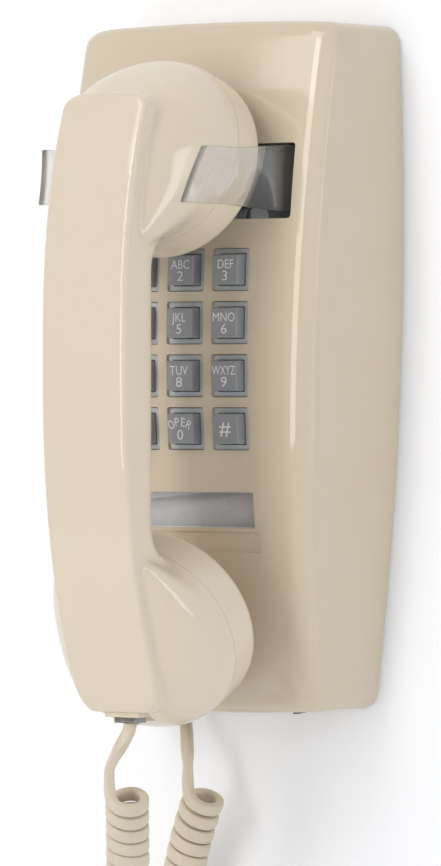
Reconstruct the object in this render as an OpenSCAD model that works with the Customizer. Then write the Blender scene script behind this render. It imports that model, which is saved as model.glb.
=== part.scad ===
// Wall-mounted push-button telephone: housing, keypad, hook, ringer, handset and curly cord.
// X points to the right, Y towards the wall, which is the plane Y = 0, and Z up.
// The origin lies midway between the two wall studs. Lengths are in millimetres.

/* [Housing] */
// Half of the housing's height, at its corners
body_half_h = 113.5; // [110:0.5:117]
// Half of the housing's width at the wall, where it is widest
body_half_w = 56.4; // [55:0.2:60]
// Depth of the housing from the wall to the front
body_d = 47.4; // [47:0.2:51]
// Wall thickness of the housing
wall = 2.5; // [2:0.1:3]
// Radius of the front face's arc, seen from the side
face_r = 412; // [380:4:460]
// Height at which the front face stands furthest out
face_z = 5; // [1:1:9]
// Radius of the bowed sides, seen from the front
side_r = 1220; // [1100:10:1400]
// Height at which the housing is widest
side_z = 47; // [40:1:52]
// How much each side leans in, per millimetre of depth
draft = 0.16; // [0.12:0.01:0.18]
// Width of the rolled edge between front and sides
roll_w = 9; // [7:0.5:11]
// Depth of the rolled edge between front and sides
roll_d = 4; // [3:0.5:5]
// Bow of the top and bottom edges
end_bow = 1.6; // [1:0.2:3]

/* [Keypad] */
// Distance between neighbouring keys
key_pitch = 17.5; // [17:0.1:18.5]
// Height of the keypad's centre
key_z = 6; // [3:1:9]
// Width of a key's top
key_top = 9.5; // [9:0.1:10]
// How far the keys stand out of the housing's front
key_stand = 3.7; // [3:0.1:4.5]
// Travel of a key
key_travel = 2.5; // [2:0.1:2.8]
// Outer width of the collar round each key
collar_w = 13.8; // [13.4:0.1:14.4]

/* [Number card] */
// Width of the card window
card_w = 50; // [46:1:54]
// Height of the card window
card_h = 12; // [11:0.1:13]
// Height of the card window's centre
card_z = -47.2; // [-49:0.1:-45.5]
// Width of the bare nameplate recess
plate_w = 53; // [48:1:58]
// Height of the bare nameplate recess
plate_h = 7; // [5:0.5:8]

/* [Hook] */
// Height of the hook windows' centre
window_z = 61.4; // [60.6:0.2:62]
// Height of a hook window
window_h = 25; // [24.5:0.5:27]
// Inner edge of a hook window, from the middle
window_in = 14; // [12:1:18]
// Outer edge of a hook window, from the middle
window_out = 39.6; // [39.4:0.1:41]
// Thickness of a hook arm
arm_t = 2.6; // [2.4:0.1:3]
// Height of a hook arm where it leaves the housing
arm_h = 21.7; // [20:0.1:22]
// Diameter of the hook's pivot pin
pin_d = 3; // [2.5:0.1:3.5]

/* [Handset] */
// Diameter of the ear and mouth caps
cap_d = 64; // [62:0.5:64.5]
// Height of a cap's rim
cap_t = 15; // [14:0.5:16]
// Lean of the ear cap towards the mouth cap
ear_tilt = 15; // [13:1:17]
// Lean of the mouth cap towards the ear cap
mouth_tilt = 24.5; // [23:0.5:26]
// Height of the ear head's seam centre
ear_z = 70; // [69.5:0.5:70.5]
// Height of the mouth head's seam centre
mouth_z = -88; // [-89:0.5:-87]
// Distance of the handle's back from the housing's front, at its middle
handle_d = 61; // [60:0.5:63]
// Distance of the finger side of the handle from the housing's front
grip_d = 42; // [40:0.5:44]
// Width of the handle
handle_w = 32.8; // [31:0.2:34]
// Depth of the capsule bore in each head
bore_depth = 8; // [6:0.5:10]

/* [Mounting] */
// Distance between the two wall studs
stud_span = 101.6; // [95:0.1:104]
// Diameter of a keyhole's round part
keyhole_d = 9; // [8.5:0.1:10]
// Width of a keyhole's slot
keyslot_w = 4.6; // [4:0.1:5]
// Thickness of the base plate
plate_t = 1.6; // [1.2:0.1:2]
// Width and height of the opening for the wall jack
jack_gap = 36; // [34:1:40]

/* [Cord] */
// Width of the oval cord, along the curls
cord_w = 3.7; // [3.5:0.05:3.75]
// Thickness of the oval cord, across the curls
cord_t = 2.8; // [2.6:0.05:3]
// Outer diameter of the curls
curl_d = 14.4; // [14:0.1:15]
// Distance between curls on the handset's side
curl_pitch = 4.8; // [4.7:0.05:5]
// Distance between curls round the bottom bend
bend_pitch = 5.2; // [5.15:0.05:5.4]
// Distance between curls on the housing's side
slack_pitch = 4.95; // [4.9:0.05:5.2]
// Number of curls on the handset's side
run_curls = 29; // [24:1:30]

/* [Hidden] */
$fn = 48;
eps = 0.01;

// Colours
beige = "#D9CDB7";
key_grey = "#7B7F85";
collar_grey = "#6C7478";
silver = "#C4C6CA";
clear = [0.75, 0.78, 0.8, 0.45];
steel = "#9EA2A6";
brass = "#B79A5B";
black = "#26272A";
board_green = "#2F5D43";
copper = "#9A5B33";

// Clearances
slide_gap = 0.2;    // between a key and what guides it
seat_gap = 0.3;     // between pieces on different bodies that nearly touch
fit_gap = 0.15;     // round a piece that drops into a hole
pin_gap = 0.05;     // round a pin that turns, on the radius

// ---- General shapes ----

// A closed solid through rings that all have as many points, with a fan over each end ring.
module skin(rings) {
    n = len(rings[0]);
    m = len(rings);
    pts = concat([for (r = rings) each r], [middle(rings[0]), middle(rings[m - 1])]);
    walls = [
        for (i = [0:m - 2], j = [0:n - 1])
            let (a = i * n + j, b = i * n + (j + 1) % n)
                each [[a, b, b + n], [a, b + n, a + n]]
    ];
    ends = [
        for (j = [0:n - 1])
            let (k = (j + 1) % n)
                each [[m * n, k, j], [m * n + 1, (m - 1) * n + j, (m - 1) * n + k]]
    ];
    polyhedron(points = pts, faces = concat(walls, ends), convexity = 8);
}

function middle(ring) = [for (k = [0:2]) sum([for (p = ring) p[k]]) / len(ring)];
function sum(v, i = 0) = i == len(v) ? 0 : v[i] + sum(v, i + 1);
function unit(v) = v / norm(v);
function smooth(t) = let (c = min(1, max(0, t))) c * c * (3 - 2 * c);
function mirrored(ring) = [for (i = [len(ring) - 1:-1:0]) [-ring[i][0], ring[i][1], ring[i][2]]];

module box(low, high) {
    translate(low) cube(high - low);
}

module peg(r, y_from, y_to, x = 0, z = 0) {
    translate([x, max(y_from, y_to), z]) rotate([90, 0, 0]) cylinder(r = r, h = abs(y_to - y_from));
}

module rod_x(r, x_from, x_to, y, z) {
    translate([x_from, y, z]) rotate([0, 90, 0]) cylinder(r = r, h = x_to - x_from);
}

// A flat bar with rounded corners, w wide and h high, from y = 0 to y = t
module rounded_slab(w, h, t, r) {
    translate([0, t, 0]) rotate([90, 0, 0]) linear_extrude(height = t) {
        square([w - 2 * r, h], center = true);
        square([w, h - 2 * r], center = true);
        for (sx = [-1, 1], sz = [-1, 1]) translate([sx * (w / 2 - r), sz * (h / 2 - r)]) circle(r = r);
    }
}

// ---- Housing ----

face_steps = 7;                  // points along half of the front
side_run = [0, 0.34, 0.68, 1];   // where a side has points, from the wall to the rolled edge
top_round = 5.5;                 // radius of the upper corners, seen from the front
bottom_round = 4.5;              // radius of the lower corners
end_drop = 3;                    // how far the front's top and bottom edges roll back
rim_y = -0.5;                    // the housing's rim stays this far off the wall

function face_drop(z) = face_r - sqrt(face_r * face_r - pow(z - face_z, 2));
function front_y(z) = face_drop(z) - body_d;
function face_lean(z) = asin((z - face_z) / face_r);
function wall_half(z) = body_half_w - side_r + sqrt(side_r * side_r - pow(z - side_z, 2));
function end_part(z) = let (r = z > 0 ? top_round : bottom_round) max(0, (abs(z) - body_half_h + r) / r);
function end_round(z) = 1 - sqrt(1 - pow(min(1, end_part(z)), 2));
function bowed(x, z, half_w) = z + end_bow * pow(z / body_half_h, 3) * (1 - pow(x / half_w, 2));

// One level of the housing, set in by gap all round: side, rolled edge, front, and their mirror image
function housing_ring(z, gap, back_y, roll_steps) =
    let (
        r = z > 0 ? top_round : bottom_round,
        half_w = wall_half(z) - gap - r * end_round(z),
        depth = body_d - face_drop(z) - gap - end_drop * end_round(z),
        side_d = depth - roll_d,
        edge_x = half_w - draft * side_d,
        flat_x = edge_x - roll_w,
        half = concat(
            [for (t = side_run) [half_w - draft * side_d * t, t == 0 ? back_y : -side_d * t]],
            [for (i = [1:roll_steps]) let (a = 90 * i / roll_steps)
                [flat_x + roll_w * cos(a), -side_d - roll_d * sin(a)]],
            [for (i = [1:face_steps - 1]) [flat_x * (1 - i / face_steps), -depth]],
            [[0, -depth]]
        ),
        right = [for (p = half) [p[0], p[1], bowed(p[0], z, wall_half(z))]],
        left = mirrored(right)
    )
    concat(right, [for (i = [1:len(left) - 1]) left[i]]);

// Heights of the levels, closer together where the ends are round
function levels(half_h, cuts, round_steps) =
    concat(
        [for (i = [round_steps:-1:1]) -half_h + bottom_round * (1 - sin(90 * i / round_steps))],
        [for (i = [0:cuts]) -half_h + bottom_round + (2 * half_h - bottom_round - top_round) * i / cuts],
        [for (i = [1:round_steps]) half_h - top_round * (1 - sin(90 * i / round_steps))]
    );

module on_face(z) {
    translate([0, front_y(z), z]) rotate([-face_lean(z), 0, 0]) children();
}

boss_r = 3.5;
screw_r = 1.5;
boss_top = body_half_h - 21.5;
boss_low = -body_half_h + 14.5;
boss_places = [[-40, boss_top], [40, boss_top], [-33, boss_low], [33, boss_low]];
boss_hole = 16;                // depth of a screw's hole
volume_at = [20, -8.5, -body_half_h + 6.5];  // centre of the ringer's loudness wheel
volume_r = 9;
volume_t = 3;
base_jack_at = [-22, -12];       // the curly cord's lower jack, in X and Y
jack_w = 13;
jack_d = 10;
plug_w = 8;
plug_d = 6.6;
bottom_z = -body_half_h - end_bow;

// The hole that a modular jack drops into
module jack_hole(x, y, z_from, z_to) {
    box([x - jack_w / 2 - fit_gap, y - jack_d / 2 - fit_gap, z_from],
        [x + jack_w / 2 + fit_gap, y + jack_d / 2 + fit_gap, z_to]);
}

module housing() {
    color(beige) difference() {
        union() {
            difference() {
                skin([for (z = levels(body_half_h, 15, 5)) housing_ring(z, 0, rim_y, 6)]);
                skin([for (z = levels(body_half_h - wall, 9, 2)) housing_ring(z, wall, 2, 3)]);
            }
            for (p = boss_places) peg(boss_r, -plate_t, front_y(p[1]) + wall / 2, p[0], p[1]);
        }
        for (p = boss_places) peg(screw_r - 0.2, 0, -boss_hole, p[0], p[1]);
        for (c = [0:2], r = [0:3]) key_hole(c, r);
        for (s = [-1, 1]) hook_window(s);
        on_face(card_z) translate([0, -1, 0]) rounded_slab(card_w, card_h, wall + 3, 0.6);
        on_face(nameplate_z) translate([0, -1, 0]) rounded_slab(plate_w, plate_h, 1.5, 0.4);
        jack_hole(base_jack_at[0], base_jack_at[1], bottom_z - wall, bottom_z + 3 * wall);
        box([volume_at[0] - volume_r, volume_at[1] - volume_t / 2 - 0.6, bottom_z - 1],
            [volume_at[0] + volume_r, volume_at[1] + volume_t / 2 + 0.6, volume_at[2] - 1]);
    }
}

nameplate_z = card_z - card_h / 2 - plate_h / 2 - 1;

module key_hole(c, r) {
    w = collar_w + 2 * slide_gap;
    translate([key_x(c), -body_d, key_row_z(r)]) cube([w, 24, w], center = true);
}

module hook_window(s) {
    mid = (window_in + window_out) / 2;
    translate([s * mid, -body_d - 2, window_z])
        rounded_slab(window_out - window_in, window_h, 12, 1.2);
}

// The four screws that hold the housing to the base plate
module housing_screws() {
    color(steel) for (p = boss_places) {
        peg(screw_r - 0.2, -plate_t, -12, p[0], p[1]);
        peg(screw_r, -plate_t / 2, -plate_t, p[0], p[1]);
        peg(2 * screw_r, -plate_t / 4, -plate_t / 2, p[0], p[1]);
    }
}

// ---- Base plate and wall connection ----

plate_gap = 0.5;     // between the base plate's edge and the housing
lip_h = 6;           // height of the base plate's turned-up sides
pivot_y = -22;       // the hook's pivot
pivot_z = window_z - 15.4;
ear_x = window_out + 0.8;   // inner face of the ears that hold the pivot pin
ear_t = 2;
ear_r = 5;

function plate_half(z) = wall_half(z) - wall - plate_gap - draft * lip_h;
function plate_outline(inset) =
    let (
        low = -body_half_h + wall + plate_gap + inset,
        high = body_half_h - wall - plate_gap - inset,
        side = [for (i = [0:12]) let (z = low + 6 + (high - low - 12) * i / 12) [plate_half(z) - inset, z]]
    )
    concat(
        [[plate_half(low) - 9, low]], side, [[plate_half(high) - 9, high]],
        [[-plate_half(high) + 9, high]], [for (i = [12:-1:0]) [-side[i][0], side[i][1]]],
        [[-plate_half(low) + 9, low]]
    );

module plate_sheet(inset, y_from, y_to) {
    translate([0, y_from, 0]) rotate([90, 0, 0])
        linear_extrude(height = y_from - y_to) polygon(plate_outline(inset));
}

module keyhole(z) {
    peg(keyhole_d / 2, 1, -plate_t - 1, 0, z);
    box([-keyslot_w / 2, -plate_t - 1, z], [keyslot_w / 2, 1, z + 10]);
}

module base_plate() {
    color(steel) difference() {
        union() {
            plate_sheet(0, 0, -plate_t);
            difference() {
                plate_sheet(0, -plate_t + eps, -lip_h);
                plate_sheet(plate_t, 1, -lip_h - 1);
                box([-27, -lip_h - 1, -body_half_h - 1], [34, 0, -body_half_h + 12]);
            }
            for (s = [-1, 1]) pivot_ear(s);
        }
        for (s = [-1, 1]) keyhole(s * stud_span / 2);
        box([-jack_gap / 2, -plate_t - 1, -jack_gap / 2], [jack_gap / 2, 1, jack_gap / 2]);
        for (p = boss_places) {
            peg(screw_r + fit_gap, 1, -plate_t - 1, p[0], p[1]);
            peg(2 * screw_r + fit_gap, 1, -plate_t / 2, p[0], p[1]);
        }
        for (s = [-1, 1]) rod_x(pin_d / 2 + eps, s > 0 ? ear_x - 1 : -ear_x - ear_t - 1,
            s > 0 ? ear_x + ear_t + 1 : -ear_x + 1, pivot_y, pivot_z);
    }
}

// An upright ear of the base plate that holds one end of the pivot pin
module pivot_ear(s) {
    x = s > 0 ? ear_x : -ear_x - ear_t;
    box([x, pivot_y, pivot_z - ear_r], [x + ear_t, -plate_t / 2, pivot_z + ear_r]);
    rod_x(ear_r, x, x + ear_t, pivot_y, pivot_z);
}

line_plug_depth = 3; // how far behind the wall face the line plug's tip lies
line_plug_len = 12;
stirrup_t = 1.5;     // the line plug's sheet-metal bracket
stirrup_half_h = 7;
stirrup_in = 3;      // how far the bracket's legs stand outside the opening

// The plug that the wall jack takes, on a bracket across the opening in the base plate
module line_plug() {
    inner = jack_gap / 2 + stirrup_in;
    outer = inner + 2;
    back = -line_plug_depth - line_plug_len;
    color(clear) {
        box([-plug_w / 2, back, -plug_d / 2], [plug_w / 2, -line_plug_depth, plug_d / 2]);
        box([-plug_w / 4, back + 3, plug_d / 2 - eps], [plug_w / 4, -line_plug_depth - 2, plug_d / 2 + 1.4]);
    }
    color(steel) difference() {
        box([-outer, back - stirrup_t, -stirrup_half_h], [outer, -plate_t, stirrup_half_h]);
        box([-inner, back, -stirrup_half_h - 1], [inner, 0, stirrup_half_h + 1]);
    }
}

// ---- Keypad ----

function key_x(c) = key_pitch * (c - 1);
function key_row_z(r) = key_z + key_pitch * (1.5 - r);

bezel_edge = 9.6;                                       // from the outer keys' centres to the bezel's edge
bezel_low = key_row_z(3) - bezel_edge;
bezel_high = key_row_z(0) + bezel_edge;
bezel_half_w = key_pitch + bezel_edge;
bezel_y = -body_d + wall + max(face_drop(bezel_low), face_drop(bezel_high)) + seat_gap;
bezel_t = 1.5;
collar_y = -body_d + 0.6;                               // front of the collars before they are cut
collar_sunk = 1;                                        // the collars lie this far below the face
collar_in = key_top + 1.1;                              // opening of a collar
flange_w = collar_in + 1.6;
flange_t = 1.2;
flange_y = bezel_y + bezel_t + slide_gap;               // front of a key's flange
stem_y = flange_y + flange_t + 3;                       // back end of a key
sheet_y = stem_y + key_travel + 0.3;                    // front of the contact sheet
sheet_t = 1;
board_y = sheet_y + sheet_t;
board_t = 1.6;
bracket_y = board_y + board_t;
bracket_half_w = bezel_half_w + 3;
bracket_t = 1.5;
leg_r = 1.8;

module keypad_bezel() {
    color(collar_grey) {
        difference() {
            union() {
                box([-bezel_half_w, bezel_y, bezel_low], [bezel_half_w, bezel_y + bezel_t, bezel_high]);
                for (c = [0:2], r = [0:3])
                    translate([key_x(c), (bezel_y + collar_y) / 2 + eps, key_row_z(r)])
                        cube([collar_w, bezel_y - collar_y + 2 * eps, collar_w], center = true);
            }
            for (r = [0:3]) on_face(key_row_z(r))
                translate([0, collar_sunk - 5, 0]) cube([3 * key_pitch, 10, key_pitch - 2], center = true);
            for (c = [0:2], r = [0:3])
                translate([key_x(c), bezel_y, key_row_z(r)])
                    cube([collar_in, 20, collar_in], center = true);
        }
        for (sx = [-1, 1], z = [bezel_low + 2, bezel_high - 2])
            peg(leg_r, bezel_y + bezel_t - eps, board_y, sx * (bezel_half_w - 2), z);
    }
}

module keypad_spring_sheet() {
    color(silver) difference() {
        box([-bezel_half_w + 5, sheet_y, bezel_low + 5], [bezel_half_w - 5, board_y, bezel_high - 5]);
        for (c = [0:1], r = [0:2]) peg(2, 0, -body_d, key_x(c) + key_pitch / 2, key_row_z(r) - key_pitch / 2);
    }
}

module keypad_board() {
    color(board_green)
        box([-bracket_half_w, board_y, bezel_low], [bracket_half_w, board_y + board_t, bezel_high]);
}

// A sheet-metal stirrup that carries the keypad on the base plate
module keypad_bracket() {
    color(steel) for (s = [-1, 1], z = [bezel_low + 3, bezel_high - 11]) difference() {
        box([s * bracket_half_w - 4, bracket_y, z], [s * bracket_half_w + 4, -plate_t, z + 8]);
        box([s * bracket_half_w - (s > 0 ? 5 : 4 - bracket_t), bracket_y + bracket_t, z - 1],
            [s * bracket_half_w + (s > 0 ? 4 - bracket_t : 5), -plate_t - bracket_t, z + 9]);
    }
}

// One key: a drafted cap with a dished top, a flange that keeps it in, and a stem
module key(c, r) {
    base_w = collar_in - 2 * slide_gap;
    z = key_row_z(r);
    slope = tan(face_lean(z));
    translate([key_x(c), 0, z]) color(key_grey) {
        skin([
            square_ring(base_w, flange_y + flange_t / 2, 0),
            square_ring(base_w, front_y(z) + collar_sunk, slope),
            square_ring(key_top + 0.3, front_y(z) - key_stand + 0.5, slope),
            square_ring(key_top - 0.3, front_y(z) - key_stand, slope)
        ]);
        box([-flange_w / 2, flange_y, -flange_w / 2], [flange_w / 2, flange_y + flange_t, flange_w / 2]);
        peg(2.4, flange_y, stem_y);
    }
}

function square_ring(w, y, slope) =
    [for (p = [[-1, -1], [-1, 1], [1, 1], [1, -1]]) [p[0] * w / 2, y + slope * p[1] * w / 2, p[1] * w / 2]];

module key_1() { key(0, 0); }
module key_2() { key(1, 0); }
module key_3() { key(2, 0); }
module key_4() { key(0, 1); }
module key_5() { key(1, 1); }
module key_6() { key(2, 1); }
module key_7() { key(0, 2); }
module key_8() { key(1, 2); }
module key_9() { key(2, 2); }
module key_star() { key(0, 3); }
module key_0() { key(1, 3); }
module key_hash() { key(2, 3); }

// ---- Number card ----

lens_t = 1.5;
lens_y = wall + seat_gap;   // the window's flange clears the curved inside of the face
lens_sunk = 0.6;   // the window lies this far below the face
card_t = 0.5;

module card_window() {
    color(clear) on_face(card_z) {
        translate([0, lens_sunk, 0])
            rounded_slab(card_w - 2 * fit_gap, card_h - 2 * fit_gap, lens_y - lens_sunk + eps, 0.5);
        translate([0, lens_y, 0]) rounded_slab(card_w + 3, card_h + 2, lens_t, 1);
    }
}

module number_card() {
    color(silver) on_face(card_z)
        translate([0, lens_y + lens_t, 0]) rounded_slab(card_w + 1, card_h + 1, card_t, 0.8);
}

// ---- Handset: shapes of the two heads ----

head_len = 33;          // from the seam to the head's end, along the head
head_straight = 11;     // how far a head goes on along its cap's axis before it bends
head_end_half_h = 29.5; // half height of a head where it ends inside the handle
head_end_half_w = handle_w / 2 - 0.5;
ear_d = 18;             // distance of the ear seam's centre from the housing's front
mouth_d = 21;           // the same for the mouth seam
head_power = 0.75;      // how full the heads' shoulders are
cap_r = cap_d / 2;

function hand_y(d) = -body_d - d;

// A head is [distance of the seam's centre, its height, distance and height of the head's end,
// which way is up, lean of the seam, lean of the end]
EAR = [ear_d, ear_z, 51, 58.5, 1, ear_tilt, 12];
MOUTH = [mouth_d, mouth_z, 47, -82.5, -1, mouth_tilt, 18];

// Below v = 0 the section lies in the cap, from 0 to 1 it runs through the head to the handle
function head_tilt(head, v) = head[5] + (head[6] - head[5]) * max(0, v);
function head_half_w(v) = v < 0 ? cap_r :
    head_end_half_w + (cap_r - head_end_half_w) * pow(cos(90 * min(1, v)), head_power);
function head_half_h(v) = v < 0 ? cap_r : cap_r + (head_end_half_h - cap_r) * v;
function head_mid(head, v) =
    let (
        start = [head[0], head[1]],
        along = [cos(head[5]), head[4] * sin(head[5])],
        bend = start + head_straight * along,
        end = [head[2], head[3]]
    )
    v < 0 ? start + head_len * v * along : pow(1 - v, 2) * start + 2 * v * (1 - v) * bend + v * v * end;

// The power that makes a section squarer than an ellipse, which has 1
function head_square(v) = 1 - 0.35 * smooth(v);

// A section of a head: an ellipse that grows squarer towards the handle
function head_ring(head, v, n = 40) =
    let (
        c = head_mid(head, v),
        t = head_tilt(head, v),
        w = head_half_w(v),
        h = head_half_h(v),
        e = head_square(v)
    )
    [for (i = [0:n - 1])
        let (
            a = 360 * i / n,
            x = w * sign(cos(a)) * pow(abs(cos(a)), e),
            q = h * sign(sin(a)) * pow(abs(sin(a)), e)
        )
        [x, hand_y(c[0] - q * sin(t)), c[1] + head[4] * q * cos(t)]];

module head(which) {
    rings = [for (v = [0, 0.1, 0.22, 0.36, 0.5, 0.64, 0.77, 0.88, 0.96, 1]) head_ring(which, v)];
    skin(which[4] < 0 ? rings : [for (r = rings) [for (i = [len(r) - 1:-1:0]) r[i]]]);
}

// ---- Handset: handle ----

back_top = 89;          // ends of the handle's back
back_low = -112.5;
back_mid = 3;           // height at which the back stands furthest out
back_power = 2.5;       // flatness of the back's curve
back_drop_top = 14;     // how far the back's ends lie nearer the housing than its middle
back_drop_low = 22;
crook_r = 12;           // hollow curve between a head and the finger side
crook_low_depth = 8.5;  // the lower one stops short of the mouth cap's rim
grip_top = 31;          // ends of the straight part of the finger side
grip_low = -50;

function back_d(z) = z > back_mid ?
    handle_d - back_drop_top * pow((z - back_mid) / (back_top - back_mid), back_power) :
    handle_d - back_drop_low * pow((back_mid - z) / (back_mid - back_low), back_power);
function crook(z, z_end, way, depth) =
    let (u = (z - z_end) * way / crook_r) u <= 0 ? grip_d : u >= 1 ? grip_d - depth :
        grip_d - depth * (1 - sqrt(1 - u * u));
function finger_d(z) = z > 0 ? crook(z, grip_top, 1, crook_r) : crook(z, grip_low, -1, crook_low_depth);

// Half width of the back: it narrows in a shallow arch at the top and in round corners at the bottom
function back_half_w(z) =
    let (low = min(1, max(0, (back_low + 13 - z) / 13)), top = min(1, max(0, (z - back_top + 5) / 5)))
        handle_w / 2 * (1 - 0.35 * (1 - sqrt(1 - low * low)) - 0.5 * (1 - sqrt(1 - top * top)));

// A section of the handle at height z: sharp corners at the back, rounder ones at the fingers
function handle_ring(z) =
    let (
        w = back_half_w(z),
        near = finger_d(z),
        far = back_d(z),
        r = min(1.2, (far - near) / 3),
        f = min(5, (far - near) / 3)
    )
    concat(
        [for (a = [0, 45, 90]) [w - r + r * cos(a), hand_y(far - r + r * sin(a)), z]],
        [for (a = [90, 135, 180]) [-w + r + r * cos(a), hand_y(far - r + r * sin(a)), z]],
        [for (a = [180, 210, 240, 270]) [-w + f + f * cos(a), hand_y(near + f + f * sin(a)), z]],
        [for (a = [270, 300, 330, 360]) [w - f + f * cos(a), hand_y(near + f + f * sin(a)), z]]
    );

handle_levels = concat(
    [for (a = [90, 72, 54, 36, 18]) back_low + 13 * (1 - sin(a))],
    [-97, -88, -79, -70],
    [for (a = [90:-15:0]) grip_low - crook_r * sin(a)],
    [-38, -25, -11, 3, 17],
    [for (a = [0:15:90]) grip_top + crook_r * sin(a)],
    [52, 62, 72, 80],
    [for (a = [0, 22, 45, 68, 90]) back_top - 5 + 5 * sin(a)]
);

neck_r = 28.9;          // threaded neck that a cap screws on
neck_h = 10;
seam_w = 0.1;           // a cap's seam is this wide

// Places children on a head's axis, with Z out of the cap and the seam at Z = 0
module on_head(head) {
    translate([0, hand_y(head[0]), head[1]]) rotate([-90 - head[4] * head[5], 0, 0]) children();
}

socket_at = [0, 33, -114];    // the handset's jack: X, distance from the housing's front, and height
socket_h = 12;
pocket_low = -126;             // the jack's pocket is open down to here

module handset_shell() {
    color(beige) difference() {
        union() {
            skin([for (z = handle_levels) handle_ring(z)]);
            head(EAR);
            head(MOUTH);
            for (h = [EAR, MOUTH]) on_head(h) translate([0, 0, -1]) cylinder(r = neck_r, h = neck_h + 1);
        }
        for (h = [EAR, MOUTH]) on_head(h) translate([0, 0, -bore_depth])
            cylinder(r = neck_r - wall, h = bore_depth + neck_h + 1);
        jack_hole(socket_at[0], hand_y(socket_at[1]), pocket_low, socket_at[2] + socket_h + fit_gap);
    }
}

// ---- Handset: caps and capsules ----

cap_face = 3;           // thickness of a cap's face
cap_round = 3.5;        // rounded edge of a cap
dish = 1.6;             // how deep the middle of a cap is hollowed

module cap_body() {
    rotate_extrude($fn = 96) polygon(concat(
        [[neck_r + fit_gap, seam_w], [cap_r, seam_w], [cap_r, cap_t - cap_round]],
        [for (a = [15:15:90]) [cap_r - cap_round * (1 - cos(a)), cap_t - cap_round * (1 - sin(a))]],
        [[cap_r * 0.75, cap_t - dish * 0.5], [cap_r * 0.5, cap_t - dish * 0.85], [0, cap_t - dish]],
        [[0, cap_t - dish - cap_face], [neck_r + fit_gap, cap_t - dish - cap_face]]
    ));
}

module receiver_cap() {
    color(beige) on_head(EAR) difference() {
        cap_body();
        for (i = [0:5]) rotate([0, 0, 60 * i]) translate([6.5, 0, 0]) cylinder(r = 1.2, h = 2 * cap_t);
        cylinder(r = 1.2, h = 2 * cap_t);
    }
}

module transmitter_cap() {
    color(beige) on_head(MOUTH) difference() {
        cap_body();
        for (ring = [1:3], i = [0:6 * ring - 1])
            rotate([0, 0, 60 / ring * i]) translate([4.2 * ring, 0, 0]) cylinder(r = 1, h = 2 * cap_t);
    }
}

capsule_h = 14;
capsule_top = cap_t - dish - cap_face - 0.2;  // a capsule's front lies just under the cap's face

// A capsule: a can with a wide flange that the cap clamps on the neck's end
module capsule(r) {
    translate([0, 0, capsule_top - capsule_h]) cylinder(r = r, h = capsule_h);
    difference() {
        translate([0, 0, capsule_top - capsule_h / 2])
            cylinder(r = neck_r - wall - fit_gap, h = capsule_h / 2);
        translate([0, 0, capsule_top - 0.8]) cylinder(r = r - 2, h = 2);
    }
}

module receiver_capsule() { color(steel) on_head(EAR) capsule(22); }
module transmitter_capsule() { color(black) on_head(MOUTH) capsule(20); }

// A modular jack: a block with a hole from below that the plug fills
module jack(x, y, z) {
    color(black) translate([x, y, z]) difference() {
        translate([-jack_w / 2, -jack_d / 2, 0]) cube([jack_w, jack_d, socket_h]);
        translate([-plug_w / 2 - fit_gap, -plug_d / 2 - fit_gap, -1])
            cube([plug_w + 2 * fit_gap, plug_d + 2 * fit_gap, socket_h - 1]);
    }
}

plug_len = 11;
plug_end_z = -116;      // lower end of the handset's plug, where the cord starts
base_plug_z = -body_half_h - 2.5;   // the same on the housing

module plug(x, y, end_z) {
    color(clear) {
        translate([x - plug_w / 2, y - plug_d / 2, end_z]) cube([plug_w, plug_d, plug_len]);
        translate([x - plug_w / 5, y + plug_d / 2 - 1.2, end_z - 0.8])
            cube([plug_w * 0.4, 0.8, 2]);
    }
}

module handset_jack() { jack(socket_at[0], hand_y(socket_at[1]), socket_at[2]); }
module cord_plug_handset() { plug(socket_at[0], hand_y(socket_at[1]), plug_end_z); }
module base_jack() { jack(base_jack_at[0], base_jack_at[1], base_jack_z); }
module cord_plug_base() { plug(base_jack_at[0], base_jack_at[1], base_plug_z); }

base_jack_z = base_plug_z + 2;

// ---- Hook ----

arm_low = window_z - window_h / 2 + 2.2;    // lower edge of an arm in its window
arm_x = window_out - 0.4 - arm_t;           // inner face of an arm where it is straight
arm_root_y = -16;
arm_start_d = -6;                           // where the arm starts to bend in
arm_bent_d = 24;                            // where it lies along the ear head
arm_tip_d = 40.4;                           // middle of the arm's slanted tip
arm_slant = 7.3;                            // the tip's lower corner reaches this much further out
arm_tip_low = 53;
arm_tip_high = 71.5;
arm_top_x = cap_r + 0.2;                    // the upper edge clears the head when the handset is lifted
arm_low_x = cap_r - 5.8;                    // the lower edge, where it lies along the head
arm_close = 0.2;                            // closing in of the upper edge per millimetre further out

// Where the head's surface lies at an arm's lower edge, as [distance, half width]
function hug(v, z) =
    let (
        c = head_mid(EAR, v),
        e = head_square(v),
        t = head_tilt(EAR, v),
        s = (z - c[1]) / (head_half_h(v) * cos(t))
    )
    [
        c[0] - head_half_h(v) * s * sin(t),
        head_half_w(v) * pow(1 - pow(abs(s), 2 / e), e / 2) + seat_gap + 0.1
    ];

function head_side(d, z) = lookup(d, [for (v = [-0.5:0.06:0.8]) hug(v, z)]);

// A section of the right arm: flat where it leaves the housing, further out it curves round the ear head
function arm_point(mid_d, f) =
    let (
        d = mid_d + arm_slant * (0.5 - f) * smooth((mid_d - arm_bent_d) / (arm_tip_d - arm_bent_d)),
        b = smooth((d - arm_start_d) / (arm_bent_d - arm_start_d)),
        low = [arm_x + (arm_low_x - arm_x) * b, arm_low + (arm_tip_low - arm_low) * b],
        top = [arm_x + (arm_top_x - arm_x) * b - arm_close * max(0, d - arm_bent_d),
            arm_low + arm_h + (arm_tip_high - arm_low - arm_h) * b],
        p = low + (top - low) * f
    )
    [max(p[0], head_side(d, p[1])), hand_y(d), p[1]];

function arm_ring(d) =
    let (line = [for (f = [0:0.25:1]) arm_point(d, f)])
    concat(line, [for (i = [len(line) - 1:-1:0]) line[i] + [arm_t, 0, 0]]);

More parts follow.
